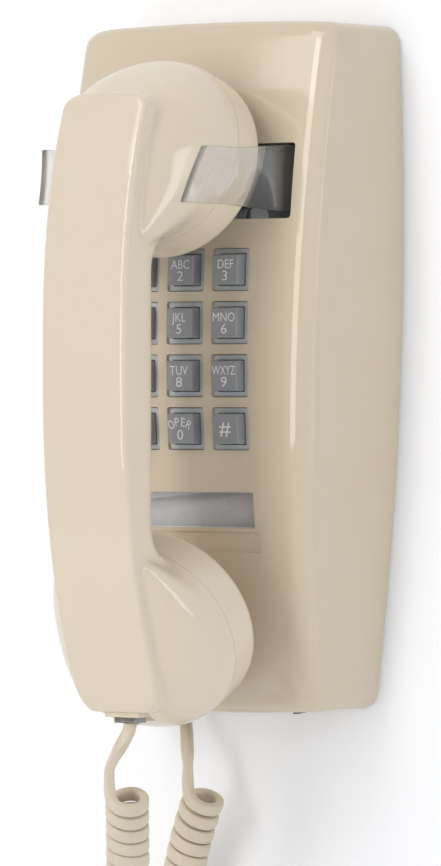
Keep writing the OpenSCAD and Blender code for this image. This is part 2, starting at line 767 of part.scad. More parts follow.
arm_places = concat([arm_root_y, (hand_y(arm_start_d) + arm_root_y) / 2],
    [for (i = [0:13]) hand_y(arm_start_d + (arm_tip_d - arm_start_d) * i / 13)]);

module hook_arm() {
    skin([for (y = arm_places) arm_ring(-body_d - y)]);
}

module hook_arm_right() { color(clear) hook_arm(); }
module hook_arm_left() { color(clear) mirror([1, 0, 0]) hook_arm(); }

cheek_t = 2;
cheek_x = arm_x - cheek_t;      // inner face of a cheek
lever_low = pivot_z - 5;
lever_y = -30;                  // front edge of the lever
tail_y = -13;                   // back edge of the lever

module hook_lever() {
    color(steel) difference() {
        union() {
            for (x = [-cheek_x - cheek_t, cheek_x])
                box([x, lever_y, lever_low], [x + cheek_t, tail_y, arm_low + arm_h]);
            box([-cheek_x - eps, tail_y - cheek_t, arm_low + 3], [cheek_x + eps, tail_y, arm_low + arm_h]);
        }
        rod_x(pin_d / 2 + pin_gap, -cheek_x - 2 * cheek_t, cheek_x + 2 * cheek_t, pivot_y, pivot_z);
    }
}

module hook_pivot_pin() {
    color(steel) rod_x(pin_d / 2, -ear_x - ear_t - 1, ear_x + ear_t + 1, pivot_y, pivot_z);
}

spring_r = pin_d / 2 + 0.3;
spring_wire = 1;
spring_turns = 12;
spring_leg = 16;

// The return spring round the pin: its coil and the two legs that rest on the plate and the lever
module hook_spring() {
    half = spring_turns * spring_wire / 2;
    wire_r = spring_wire / 2;
    leg_y = tail_y - cheek_t - seat_gap;
    color(steel) {
        difference() {
            rod_x(spring_r + spring_wire, -half, half, pivot_y, pivot_z);
            rod_x(spring_r, -half - 1, half + 1, pivot_y, pivot_z);
        }
        peg(wire_r, pivot_y, -plate_t, -half + wire_r, pivot_z - spring_r - wire_r);
        translate([half - wire_r, leg_y - wire_r, pivot_z - spring_wire])
            cylinder(r = wire_r, h = spring_leg);
        box([half - spring_wire, pivot_y, pivot_z + spring_r],
            [half, leg_y, pivot_z + spring_r + spring_wire]);
    }
}

switch_z = window_z + 0.6;
switch_half_w = 11;
switch_y = -9;       // the switch's front
plunger_gap = 1.3;   // the lever comes this far towards the plunger when the handset is lifted

// The hook switch on the base plate, with its plunger just behind the lever
module hook_switch() {
    color(black) box([-switch_half_w, switch_y, switch_z - 8], [switch_half_w, -plate_t, switch_z + 12]);
    color(silver) peg(1.5, switch_y + eps, tail_y + plunger_gap, 0, switch_z + 4);
}

// ---- Network board and ringer ----

network_y = -16;     // back of the network board
network_t = 1.5;

network_half_w = 34;
network_low = 9.5;
network_high = 30;
network_mid = (network_low + network_high) / 2;
coil_block = [16, 7, 15];      // width, stand and height of the induction coil
relay_block = [14, 5, 12];     // the same of the block beside it
can_r = 4;                     // two capacitors
can_h = 9.5;
standoff_r = 2;
standoff_in = 3;               // the standoffs' distance from the board's edges

// A block on the network board, its left edge at x
module on_board(size, x) {
    y = network_y - network_t;
    box([x, y - size[1], network_mid - size[2] / 2], [x + size[0], y + eps, network_mid + size[2] / 2]);
}

module network_board() {
    front = network_y - network_t;
    color(board_green) box([-network_half_w, front, network_low], [network_half_w, network_y, network_high]);
    color(black) {
        on_board(coil_block, -network_half_w + 6);
        on_board(relay_block, -6);
        for (i = [2, 3]) peg(can_r, front + eps, front - can_h, i * (2 * can_r + 1) - 2, network_mid);
    }
    color(steel) for (s = [-1, 1], z = [network_low + standoff_in, network_high - standoff_in])
        peg(standoff_r, network_y - eps, -plate_t, s * (network_half_w - standoff_in), z);
}

gong_r = 16;
gong_x = 21;
gong_z = -body_half_h + 31.5;
gong_front = -22;
gong_depth = 10;
gong_wall = 1.2;
post_r = 2;
frame_t = 1.6;
frame_y = -plate_t - frame_t;
clapper_r = 3.2;
clapper_pivot_z = gong_z + 19;
hub_r = 3;                   // the clapper's hub and the boss behind it
pivot_r = 1.2;
clapper_y = -16;
coil_r = 6;
coil_h = 16;
coil_y = -18;
core_r = 2.4;
core_low = clapper_pivot_z + hub_r + seat_gap;
coil_low = core_low + 0.2;
core_high = coil_low + coil_h + 1;
yoke_t = 2;

module gong(s) {
    color(brass) translate([s * gong_x, gong_front, gong_z]) rotate([-90, 0, 0]) rotate_extrude($fn = 64)
        polygon([
            [post_r + pin_gap, 0], [gong_r - 4, 0], [gong_r - 1.2, 1.2], [gong_r, 4], [gong_r, gong_depth],
            [gong_r - gong_wall, gong_depth], [gong_r - gong_wall, 4], [gong_r - 2.2, 2.2],
            [gong_r - 4.4, gong_wall],
            [post_r + pin_gap, gong_wall]
        ]);
}

module gong_left() { gong(-1); }
module gong_right() { gong(1); }

module ringer_frame() {
    color(steel) difference() {
        union() {
            box([-gong_x - 5, frame_y, gong_z - 10], [gong_x + 5, -plate_t, clapper_pivot_z + yoke_t]);
            for (s = [-1, 1]) {
                peg(3.5, frame_y + eps, gong_front + gong_wall + 0.02, s * gong_x, gong_z);
                peg(post_r, frame_y + eps, gong_front - 1.5, s * gong_x, gong_z);
            }
            peg(hub_r, frame_y + eps, clapper_y + 2, 0, clapper_pivot_z);
            peg(pivot_r, frame_y + eps, clapper_y - 3, 0, clapper_pivot_z);
            peg(post_r, frame_y + eps, volume_at[1] - volume_t, volume_at[0], volume_at[2]);
            box([volume_at[0] - 5, frame_y, volume_at[2] - 4], [volume_at[0] + 5, -plate_t, gong_z - 9]);
        }
    }
}

// The ringer's coil and core, clamped on the frame above the clapper
module ringer_coil() {
    color(copper) translate([0, coil_y, coil_low]) cylinder(r = coil_r, h = coil_h);
    color(steel) {
        translate([0, coil_y, core_low]) cylinder(r = core_r, h = core_high - core_low);
        box([-core_r, coil_y - core_r, core_high - yoke_t], [core_r, coil_y + core_r, core_high]);
        box([-core_r, coil_y + coil_r - eps, coil_low + 1], [core_r, -plate_t, coil_low + 1 + yoke_t]);
    }
}

module clapper() {
    color(steel) {
        difference() {
            union() {
                peg(hub_r, clapper_y + 2 - slide_gap, clapper_y - 2, 0, clapper_pivot_z);
                box([-0.8, clapper_y - 1, gong_z], [0.8, clapper_y + 1, clapper_pivot_z - 2]);
            }
            peg(pivot_r + pin_gap, 0, clapper_y - 10, 0, clapper_pivot_z);
        }
        translate([0, clapper_y, gong_z]) sphere(r = clapper_r);
    }
}

// A notched wheel whose rim stands out of the housing's underside
module ringer_volume_wheel() {
    color(black) translate([volume_at[0], volume_at[1], volume_at[2]]) rotate([90, 0, 0]) difference() {
        cylinder(r = volume_r, h = volume_t, center = true);
        cylinder(r = post_r + pin_gap, h = 2 * volume_t, center = true);
        for (i = [0:17]) rotate([0, 0, 20 * i]) translate([volume_r + 0.3, 0, 0])
            cylinder(r = 0.9, h = 2 * volume_t, center = true);
    }
}

// ---- Curly cord ----

curl_r = (curl_d - cord_t) / 2;
curl_steps = 8;              // rings in a curl
curl_sides = 6;
ramp = 0.25;                 // the part of a curl in which the cord turns from along to around
ramp_rise = 2 * PI * curl_r * ramp * PI / 4;
forward = [0.527, -0.85, 0];       // the top curls tip this way
tip_a = 0.8;                 // slope of the top curls on the handset's side
tip_len_a = 40;              // length along which that slope fades
tip_b = 0.5;                 // the same on the housing's side
tip_len_b = 34;
top_a = [-1.3, -80.3, -139.7];     // top curl's centre on the handset's side
top_b = [-21, -19.2, -143.5];      // and on the housing's side, before it leans
hang_a = top_a - tip_a * tip_len_a / 2 * forward;
hang_b = top_b - tip_b * tip_len_b / 2 * forward;
lean = 0.36;                 // slope at which the top curls on the housing's side lean to the right
lean_line = 8;               // length that leans straight
lean_curve = 45;             // length below it that bends
apart = [hang_b[0] - hang_a[0], hang_b[1] - hang_a[1], 0];
across = unit(apart);        // level, from one run to the other
side_dir = [across[1], -across[0], 0];
bend_r = norm(apart) / 2;
run_a = run_curls * curl_pitch;
bend_run = PI * bend_r;
run_b = run_a + hang_b[2] - hang_a[2];
whole_run = run_a + bend_run + run_b;

function leaning(x) =
    x <= 0 ? 0 : x < lean_curve ? lean * x * x / (2 * lean_curve) : lean * (x - lean_curve / 2);

function tipping(s, slope, length) = slope * pow(max(0, length - s), 2) / (2 * length);

// The middle line of the curly part, s along it from the top curl on the handset's side
function hang_line(s) =
    [leaning(s - whole_run + lean_line + lean_curve), 0, 0] +
    (tipping(s, tip_a, tip_len_a) + tipping(whole_run - s, tip_b, tip_len_b)) * forward + (
        s <= run_a ? hang_a - [0, 0, s] :
        s >= run_a + bend_run ? hang_a + apart - [0, 0, run_a - (s - run_a - bend_run)] :
        let (a = 180 * (s - run_a) / bend_run)
            hang_a + bend_r * (1 - cos(a)) * across - [0, 0, run_a + bend_r * sin(a)]
    );

curls_a = run_a / curl_pitch;
curls_bend = bend_run / bend_pitch;
curls_all = floor(curls_a + curls_bend + run_b / slack_pitch) - 0.0755;
curls_b = curls_all - curls_a - curls_bend;

// Distance along the middle line after t curls
function curl_run(t) =
    t <= curls_a ? t * curl_pitch :
    t <= curls_a + curls_bend ? run_a + (t - curls_a) * bend_pitch :
    run_a + bend_run + (t - curls_a - curls_bend) * run_b / curls_b;

// Curls turned at step t, with a soft start, and how far the cord still has to come down
function turned(t) = t < ramp ? t * t / (2 * ramp) : t - ramp / 2;
function rise(t) =
    let (u = min(1, t / ramp)) ramp_rise * (1 - (u * sqrt(1 - u * u) + asin(u) * PI / 180) * 2 / PI);

steps_all = round((curls_all + ramp) * curl_steps);
curl_start = 256.4;          // where the cord meets the first curl, round the middle line

// Step i of the curly cord: distance along the middle line, angle round it and height above it
function curl_place(i) =
    let (
        t = i * (curls_all + ramp) / steps_all,
        back = curls_all + ramp - t,
        g = t < back ? turned(t) : curls_all - turned(back)
    )
    [curl_run(g), curl_start - 360 * g, rise(t) + rise(back)];

function curl_point(place) =
    let (
        t = unit(hang_line(place[0] + 0.5) - hang_line(place[0] - 0.5)),
        n = unit(cross(side_dir, t)),
        b = cross(t, n)
    )
    hang_line(place[0]) + curl_r * (cos(place[1]) * n + sin(place[1]) * b) + [0, 0, place[2]];

curl_line = concat(
    [curl_point(curl_place(0)) + [0, 0, cord_w]],
    [for (i = [0:steps_all]) curl_point(curl_place(i))],
    [curl_point(curl_place(steps_all)) + [0, 0, cord_w]]
);

// An oval ring round point i of a line, square to the line. The flat side faces out. The end rings are level.
function cord_ring(line, i, sides, out) =
    let (
        last = len(line) - 1,
        t = line[min(last, i + 1)] - line[max(0, i - 1)],
        w = i == 0 || i == last ? [0, 0, sign(t[2])] : unit(t),
        v = unit(cross(out, w)),
        u = cross(w, v)
    )
    [for (j = [0:sides - 1]) let (a = 360 * (j + 0.5) / sides)
        line[i] + cord_t / 2 * cos(a) * u + cord_w / 2 * sin(a) * v];

module curly_tube() {
    last = len(curl_line) - 1;
    skin([for (i = [0:last])
        let (c = hang_line(curl_place(min(steps_all, max(0, i - 1)))[0]))
            cord_ring(curl_line, i, curl_sides, curl_line[i] - c)]);
}

module plain_cord(line, out) {
    skin([for (i = [0:len(line) - 1]) cord_ring(line, i, 8, out)]);
}

least_gap = min([for (i = [1:steps_all], k = [curl_steps - 3:curl_steps + 3]) if (i + k <= steps_all)
    norm(curl_line[i + k] - curl_line[i])]) - cord_w;

module cord_coil() {
    echo(str("Least gap of the curly cord to itself: ", least_gap, " mm, curls: ", curls_all));
    color(beige) curly_tube();
}

lead_a_points = [
    [0, -80.4, -116], [0, -80.4, -117.5], [-0.4, -80.5, -119], [-1.2, -80.7, -120.6], [-2.3, -81, -122.1],
    [-3.3, -81.4, -123.6], [-4.2, -81.8, -125.1], [-4.9, -82.3, -126.7]
];
lead_b_points = [
    [-22, -12, -116], [-22, -12, -118], [-21.6, -12.6, -119.8], [-20.7, -13.9, -121.5],
    [-19.3, -15.8, -123.2], [-17.6, -18.3, -124.8], [-16, -20.6, -126.4], [-14.9, -22.1, -127.9]
];
lead_end = [2.4, 1.2];       // heights above the first curl's end at which a lead already runs straight

function lead_line(points, foot) = concat(points, [for (h = lead_end) foot + [0, 0, h]], [foot]);

module cord_lead_handset() {
    color(beige) plain_cord(lead_line(lead_a_points, curl_line[0]), [-1, -0.6, 0]);
}

module cord_lead_base() {
    color(beige) plain_cord(lead_line(lead_b_points, curl_line[len(curl_line) - 1]), [-1, -0.6, 0]);
}

// ---- The pieces ----

housing();
base_plate();
line_plug();
number_card();
card_window();
housing_screws();
keypad_bezel();
keypad_board();
keypad_spring_sheet();
keypad_bracket();
key_1();
key_2();
key_3();
key_4();
key_5();
key_6();
key_7();
key_8();
key_9();
key_star();
key_0();
key_hash();
hook_arm_left();
hook_arm_right();
hook_lever();
hook_pivot_pin();
hook_spring();
hook_switch();
network_board();
ringer_frame();
ringer_coil();
gong_left();
gong_right();
clapper();
ringer_volume_wheel();
base_jack();
handset_shell();
receiver_cap();
transmitter_cap();
receiver_capsule();
transmitter_capsule();
handset_jack();
cord_plug_handset();
cord_plug_base();
cord_lead_handset();
cord_coil();
cord_lead_base();
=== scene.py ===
"""Dresses the wall telephone: camera, cord, fine surfaces, key legends, finishes and light."""

import logging
import math
from collections.abc import Iterator
from contextlib import contextmanager
from dataclasses import dataclass, field
from enum import Enum
from typing import Any

import bmesh
import bpy
import numpy as np
from mathutils import Matrix, Vector
from mathutils.bvhtree import BVHTree


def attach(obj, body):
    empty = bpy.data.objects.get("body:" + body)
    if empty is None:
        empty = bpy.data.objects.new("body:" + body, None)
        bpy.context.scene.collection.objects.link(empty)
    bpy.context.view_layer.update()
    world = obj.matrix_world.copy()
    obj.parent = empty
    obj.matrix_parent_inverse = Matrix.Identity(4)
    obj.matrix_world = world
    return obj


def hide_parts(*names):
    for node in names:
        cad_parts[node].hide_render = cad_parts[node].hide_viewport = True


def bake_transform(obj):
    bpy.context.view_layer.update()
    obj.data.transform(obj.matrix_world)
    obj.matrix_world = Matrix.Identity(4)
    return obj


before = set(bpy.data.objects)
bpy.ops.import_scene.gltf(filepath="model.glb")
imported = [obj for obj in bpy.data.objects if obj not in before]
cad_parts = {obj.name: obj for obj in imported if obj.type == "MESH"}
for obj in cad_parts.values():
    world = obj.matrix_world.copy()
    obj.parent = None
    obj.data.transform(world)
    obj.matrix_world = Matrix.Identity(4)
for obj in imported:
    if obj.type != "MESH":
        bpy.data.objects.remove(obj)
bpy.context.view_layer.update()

LOG = logging.getLogger("telephone")
MM = 0.001
CREASE = 35                             # degrees: an edge of a crisp piece that turns by more stays sharp
Array = np.ndarray
Material = bpy.types.Material
Mesh = bpy.types.Mesh
Socket = bpy.types.NodeSocket
Thing = bpy.types.Object
Pair = tuple[float, float]
Triple = tuple[float, float, float]


# ---- Small helpers ----


def linear(hex_colour: str) -> tuple[float, float, float, float]:
    """Turn an sRGB hex colour into the linear colour that shaders take.

    Args:
        hex_colour: six hex digits, with or without a leading hash.

    Returns:
        Linear red, green, blue and an alpha of 1.
    """
    digits = hex_colour.lstrip("#")
    parts = [int(digits[i:i + 2], 16) / 255 for i in (0, 2, 4)]
    red, green, blue = [c / 12.92 if c <= 0.04045 else ((c + 0.055) / 1.055) ** 2.4 for c in parts]
    return red, green, blue, 1.0


def set_up(thing: Any, **settings: Any) -> Any:
    """Set attributes of a node, modifier, lamp or print, in the order given, and return it."""
    for name, value in settings.items():
        setattr(thing, name, value)
    return thing


def add_node(material: Material, kind: str, settings: dict | None = None,
             inputs: dict | None = None) -> bpy.types.ShaderNode:
    """Add a shader node, set its settings and fill or link its inputs.

    Args:
        material: the material that gets the node.
        kind: the node's type name.
        settings: attributes to set on the node.
        inputs: a value or another node's output for each input, by name or number.

    Returns:
        The new node.
    """
    node = set_up(material.node_tree.nodes.new(kind), **(settings or {}))
    fill(material, node, inputs or {})
    return node


def fill(material: Material, node: bpy.types.ShaderNode, inputs: dict) -> None:
    """Set each of a node's inputs, or link it where another node's output is given."""
    for socket, value in inputs.items():
        if isinstance(value, Socket):
            material.node_tree.links.new(value, node.inputs[socket])
        else:
            node.inputs[socket].default_value = value


def shader_of(material: Material) -> bpy.types.ShaderNode:
    """Return the material's Principled shader."""
    return material.node_tree.nodes["Principled BSDF"]


def shaded(material: Material, inputs: dict) -> Material:
    """Fill the inputs of a material's Principled shader, and return the material."""
    fill(material, shader_of(material), inputs)
    return material


def blank(name: str) -> Material:
    """Make a material with nodes and its default shader."""
    material = bpy.data.materials.new(name)
    material.use_nodes = True
    return material


def placed(material: Material, stretch: Triple | None = None) -> Socket:
    """The place on the object in metres, for a pattern: a scale under 1 stretches it along that axis."""
    place = add_node(material, "ShaderNodeTexCoord").outputs["Object"]
    if stretch:
        mapped = add_node(material, "ShaderNodeMapping", inputs={"Vector": place, "Scale": stretch})
        place = mapped.outputs["Vector"]
    return place


def noise(material: Material, place: Socket, spacing: float, detail: float,
          **others: float) -> Socket:
    """Add a noise with its features this many millimetres apart, and return its height."""
    return add_node(material, "ShaderNodeTexNoise", inputs={
        "Vector": place, "Scale": 1 / (spacing * MM), "Detail": detail, **others}).outputs["Fac"]


def bump(material: Material, height: Socket, depth: float,
         **others: float | Socket) -> Socket:
    """Add a bump of this many millimetres, and return the bent normal."""
    return add_node(material, "ShaderNodeBump", inputs={
        "Strength": 1.0, "Distance": depth * MM, "Height": height, **others}).outputs["Normal"]


def spread(material: Material, share: Socket, low: float, high: float,
           **others: float) -> Socket:
    """Go from a low value to a high one as a share goes from 0 to 1."""
    limits = {name.replace("_", " "): value for name, value in others.items()}
    return add_node(material, "ShaderNodeMapRange", inputs={
        "Value": share, "To Min": low, "To Max": high, **limits}).outputs["Result"]


def mixed(material: Material, share: Socket, first: str, last: str) -> Socket:
    """Go from one hex colour to another as a share goes from 0 to 1."""
    return add_node(material, "ShaderNodeMix", {"data_type": "RGBA"}, {
        0: share, 6: linear(first), 7: linear(last)}).outputs[2]


def worked(material: Material, operation: str,
           *values: float | Socket) -> Socket:
    """Add a math node for these values, and return its result."""
    return add_node(material, "ShaderNodeMath", {"operation": operation}, dict(enumerate(values))).outputs[0]


def unit(vectors: Array) -> Array:
    """Scale each vector in the last axis to length 1."""
    return vectors / np.maximum(np.linalg.norm(vectors, axis=-1, keepdims=True), 1e-12)


def smooth(t: Array) -> Array:
    """Ease from 0 to 1 as 3 t squared less 2 t cubed."""
    c = np.clip(t, 0, 1)
    return c * c * (3 - 2 * c)


def squared(t: Array, power: float | Array) -> Array:
    """Raise a cosine or sine to a power and keep its sign: a power under 1 makes an ellipse squarer."""
    return np.sign(t) * np.abs(t) ** power


@contextmanager
def edited(mesh: Mesh) -> Iterator[bmesh.types.BMesh]:
    """Open a mesh for editing, and write it back afterwards."""
    bm = bmesh.new()
    bm.from_mesh(mesh)
    yield bm
    bm.to_mesh(mesh)
    bm.free()


def make_object(name: str, mesh: Mesh) -> Thing:
    """Link a new object with this mesh into the scene."""
    thing = bpy.data.objects.new(name, mesh)
    bpy.context.scene.collection.objects.link(thing)
    return thing


def mesh_from(name: str, points: Array, faces: list[list[int]] | Array,
              is_smooth: bool = True) -> Mesh:
    """Make a mesh from points in millimetres and faces of point numbers."""
    mesh = bpy.data.meshes.new(name)
    quads = faces.tolist() if isinstance(faces, np.ndarray) else faces
    mesh.from_pydata((np.asarray(points).reshape(-1, 3) * MM).tolist(), [], quads)
    mesh.polygons.foreach_set("use_smooth", np.full(len(mesh.polygons), is_smooth))
    mesh.update()
    return mesh


def grid_faces(rows: int, columns: int, wrap: bool) -> Array:
    """Number the quads of a grid of points, row by row.

    Args:
        rows: rows of points.
        columns: points in a row.
        wrap: whether the last column joins the first.

    Returns:
        An array of quads, each four point numbers.
    """
    i = np.arange(rows - 1)[:, None]
    j = np.arange(columns if wrap else columns - 1)[None, :]
    k = (j + 1) % columns
    quads = np.stack([i * columns + j, i * columns + k, (i + 1) * columns + k, (i + 1) * columns + j], -1)
    return quads.reshape(-1, 4)


def tubes(name: str, grids: list[Array], is_smooth: bool = True) -> Mesh:
    """Make one mesh of closed tubes: each is a grid that wraps round, with an n-sided face over each end.

    Args:
        name: the mesh's name.
        grids: rings of points for each tube.
        is_smooth: whether its faces are shaded smooth.

    Returns:
        The mesh, with its faces outward.
    """
    faces, start = [], 0
    for grid in grids:
        rows, columns = grid.shape[:2]
        last = start + (rows - 1) * columns
        faces += (grid_faces(rows, columns, True) + start).tolist()
        faces += [list(range(start, start + columns))[::-1], list(range(last, last + columns))]
        start = last + columns
    mesh = mesh_from(name, np.vstack([grid.reshape(-1, 3) for grid in grids]), faces, is_smooth)
    with edited(mesh) as bm:
        bmesh.ops.recalc_face_normals(bm, faces=bm.faces)
    return mesh


def bar(centre: tuple[float, ...], size: tuple[float, ...], low: float, high: float) -> Array:
    """The rings of an upright bar: its four corners in X and Y at two heights."""
    corners = ((1, 1), (-1, 1), (-1, -1), (1, -1))
    return np.array([[[centre[0] + sx * size[0] / 2, centre[1] + sy * size[1] / 2, z] for sx, sy in corners]
                     for z in (low, high)])


def applied(thing: Thing) -> Thing:
    """Bake an object's modifiers into its mesh."""
    graph = bpy.context.evaluated_depsgraph_get()
    mesh = bpy.data.meshes.new_from_object(thing.evaluated_get(graph), preserve_all_data_layers=True,
                                           depsgraph=graph)
    thing.modifiers.clear()
    thing.data = mesh
    return thing


def sharpen(mesh: Mesh, degrees: float) -> None:
    """Shade a mesh smooth, apart from edges that turn by more than this angle."""
    mesh.polygons.foreach_set("use_smooth", np.full(len(mesh.polygons), True))
    mesh.set_sharp_from_angle(angle=math.radians(degrees))


def merged_copy(node: str, name: str) -> Thing:
    """Copy a construction node's mesh with its doubled points merged and flat faces joined."""
    mesh = bpy.data.objects[node].data.copy()
    mesh.name = name
    with edited(mesh) as bm:
        bmesh.ops.remove_doubles(bm, verts=bm.verts, dist=2e-6)
        bmesh.ops.dissolve_limit(bm, angle_limit=math.radians(0.3), verts=bm.verts, edges=bm.edges)
    mesh.materials.clear()
    return make_object(name, mesh)


def bevel(thing: Thing, width: float, degrees: float = 40, segments: int = 2) -> None:
    """Round an object's sharp edges.

    Args:
        thing: the object.
        width: width of the rounding in millimetres.
        degrees: edges that turn by more than this are rounded.
        segments: faces across a rounding.
    """
    set_up(thing.modifiers.new("rounded_edges", "BEVEL"), width=width * MM, segments=segments,
           limit_method="ANGLE", angle_limit=math.radians(degrees), use_clamp_overlap=True)


def cut_out(thing: Thing, cutters: Thing) -> None:
    """Take the cutters' volume away from an object when its modifiers are baked."""
    set_up(thing.modifiers.new("openings", "BOOLEAN"), operation="DIFFERENCE", solver="EXACT", object=cutters)


def finish_piece(thing: Thing, material: Material, body: str, slot: str,
                 *nodes: str) -> None:
    """Give a piece its material and its body, and hide the nodes that it stands for."""
    thing.data.materials.clear()
    thing.data.materials.append(material)
    if nodes:
        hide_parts(*nodes)
    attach(thing, body)
    LOG.info("%s: %d faces, on %s", thing.name, len(thing.data.polygons), body)


def crisp_piece(thing: Thing, edge: float, steps: int, degrees: float, finish: "Finish",
                palette: "Palette", body: str, slot: str, node: str) -> None:
    """Round a piece's edges, bake them, shade it with crisp corners and finish it.

    Args:
        thing: the piece.
        edge: width of its rounded edges in millimetres.
        steps: faces across a rounded edge.
        degrees: edges that turn by more than this are rounded.
        finish: its finish.
        palette: where finishes come from.
        body: the body that it moves with.
        slot: its slot in the record; not used.
        node: the node that it stands for.
    """
    bevel(thing, edge, degrees, steps)
    applied(thing)
    sharpen(thing.data, CREASE)
    finish_piece(thing, palette.get(finish), body, slot, node)


# ---- Finishes ----


@dataclass(frozen=True)
class MouldedPlastic:
    """Injection-moulded ABS or vinyl: even colour with a slight cloud, a polished skin with faint ripple."""

    name: str
    colour: str
    shade: str
    roughness: float = 0.2
    cloud_mm: float = 28.0      # spacing of the clouds in the colour, and of the smears in the polish
    smear_mm: float = 9.0
    ripple_mm: float = 6.0      # spacing of the skin's ripple
    ripple_depth_mm: float = 0.012
    grain_mm: float = 0.5       # spacing of the fine grain
    grain_depth_mm: float = 0.0015

    def make(self) -> Material:
        """Build the material."""
        material = blank(self.name)
        place = placed(material)
        tint = mixed(material, noise(material, place, self.cloud_mm, 2.0), self.shade, self.colour)
        polish = spread(material, noise(material, place, self.smear_mm, 3.0),
                        self.roughness * 0.85, self.roughness * 1.2)
        wave = bump(material, noise(material, place, self.ripple_mm, 1.0), self.ripple_depth_mm)
        fine = bump(material, noise(material, place, self.grain_mm, 2.0), self.grain_depth_mm, Normal=wave)
        return shaded(material, {"Base Color": tint, "Roughness": polish, "Normal": fine, "IOR": 1.53})


@dataclass(frozen=True)
class ClearPlastic:
    """Moulded clear plastic: see-through faces with faint flow lines, and painted shade at the edges, whose
    colour darkens where the surface turns away from the faces.
    """

    name: str
    colour: str
    # painted shade: the darker colour painted on the edges, for the dark that refraction gathers there
    painted_edge_shade: str
    body: float = 0.45          # share of glass in a face, against plain see-through; an edge is all glass
    face_axis: str = "X"        # the faces look along this axis
    roughness: float = 0.03
    flow_mm: float = 4.0        # spacing and depth of the flow lines
    flow_depth_mm: float = 0.05

    def make(self) -> Material:
        """Build the material."""
        material = blank(self.name)
        place = placed(material, (1.0, 1.0, 0.2))
        wave = bump(material, noise(material, place, self.flow_mm, 1.5, Distortion=0.5), self.flow_depth_mm)
        normal = add_node(material, "ShaderNodeTexCoord").outputs["Normal"]
        parts = add_node(material, "ShaderNodeSeparateXYZ", inputs={0: normal})
        facing = worked(material, "ABSOLUTE", parts.outputs[self.face_axis])
        # painted shade: edge is 1 where the surface turns away from the face axis, and there the colour goes
        # to the painted edge shade
        edge = spread(material, facing, 1.0, 0.0, From_Min=0.3, From_Max=0.7)
        tint = mixed(material, edge, self.colour, self.painted_edge_shade)
        path = add_node(material, "ShaderNodeLightPath").outputs
        soft = worked(material, "MAXIMUM", path["Is Shadow Ray"], path["Is Diffuse Ray"])
        share = spread(material, edge, self.body, 1.0)
        solid = worked(material, "MULTIPLY", worked(material, "SUBTRACT", 1.0, soft), share)
        return shaded(material, {
            "Normal": wave, "Base Color": tint, "Alpha": solid, "Roughness": self.roughness, "IOR": 1.55,
            "Transmission Weight": 1.0})


@dataclass(frozen=True)
class RolledMetal:
    """Rolled or drawn metal: a grey or yellow mirror broken up by fine rolling lines."""

    name: str
    colour: str
    roughness: float = 0.35
    line_mm: float = 0.6        # spacing of the rolling lines, drawn coarser than real so that they show
    stretch: Triple = (1.0, 1.0, 0.06)

    def make(self) -> Material:
        """Build the material."""
        material = blank(self.name)
        lines = noise(material, placed(material, self.stretch), self.line_mm, 3.0)
        polish = spread(material, lines, self.roughness * 0.7, self.roughness * 1.35)
        return shaded(material, {
            "Roughness": polish, "Normal": bump(material, lines, 0.01, Strength=0.6),
            "Base Color": linear(self.colour), "Metallic": 1.0})


@dataclass(frozen=True)
class CardFoil:
    """The number card: satin silver foil on card, with a soft brushed grain across it."""

    name: str
    colour: str
    shade: str

    def make(self) -> Material:
        """Build the material."""
        material = blank(self.name)
        lines = noise(material, placed(material, (0.05, 1.0, 1.0)), 0.7, 2.0)
        tint = mixed(material, lines, self.shade, self.colour)
        return shaded(material, {
            "Base Color": tint, "Metallic": 0.04, "Roughness": 0.42, "Coat Weight": 0.8,
            "Coat Roughness": 0.04})


class Finish(Enum):
    """The finishes of this telephone, each with its own maker."""

    HOUSING = MouldedPlastic("beige_abs_housing", "D9CBB4", "D5C6AE", 0.055)
    HANDSET = MouldedPlastic("beige_abs_handset", "E3D5BF", "DFD0B9", 0.08)
    CORD = MouldedPlastic("beige_vinyl_cord", "DDD0BC", "D3C5AE", 0.3, grain_mm=0.4, grain_depth_mm=0.004)
    KEYS = MouldedPlastic("smoke_grey_abs_keys", "989CA1", "8E9297", 0.22, ripple_depth_mm=0.004)
    # painted light: the collars' colour is lighter than their own slate grey, to make up for the shade that
    # falls on them in the key holes
    COLLARS = MouldedPlastic("slate_grey_abs_collars", "C8CFD1", "C0C7C9", 0.26, ripple_depth_mm=0.004)
    JACKS = MouldedPlastic("black_nylon_jack", "2A2B2E", "222326", 0.4)
    INNER_BLACK = MouldedPlastic("black_phenolic", "2B2A2C", "232224", 0.45)
    BOARD = MouldedPlastic("green_laminate_board", "2F5D43", "284F39", 0.5)
    # the second colour of each clear finish is the painted shade at its edges
    ARMS = ClearPlastic("clear_polycarbonate", "CDCED3", "6C6F76", 0.42)
    PLUG = ClearPlastic("clear_nylon_plug", "C6C8CB", "9A9DA2", 0.5, "Z")
    LENS = ClearPlastic("clear_acrylic_lens", "F2F4F4", "C9CCD0", 0.2, "Y")
    STEEL = RolledMetal("zinc_plated_steel", "A9ABAD", 0.38)
    BRASS = RolledMetal("nickelled_brass_gong", "C2B48C", 0.25)
    COPPER = RolledMetal("enamelled_copper_winding", "9A5B33", 0.4, 0.3, (0.06, 0.06, 1.0))
    # painted light: the foil's colours are lighter than its own satin silver, to make up for the card coming
    # out darker than the housing round it
    FOIL = CardFoil("satin_silver_foil", "F4F5F7", "EAECEF")
    LEGEND = MouldedPlastic("white_pad_printed_ink", "ECEDEB", "E2E4E3", 0.45)


class Palette:
    """Makes each finish once."""

    def __init__(self) -> None:
        """Start with no finish made."""
        self._made: dict[Finish, Material] = {}

    def get(self, finish: Finish) -> Material:
        """Return the finish's material, made on first use."""
        if finish not in self._made:
            self._made[finish] = finish.value.make()
        return self._made[finish]

    def paint(self, node: str, finish: Finish) -> None:
        """Put a finish on a construction node's own material slots."""
        target = bpy.data.objects[node]
        for slot in target.material_slots:
            slot.material = self.get(finish)


# ---- Camera ----


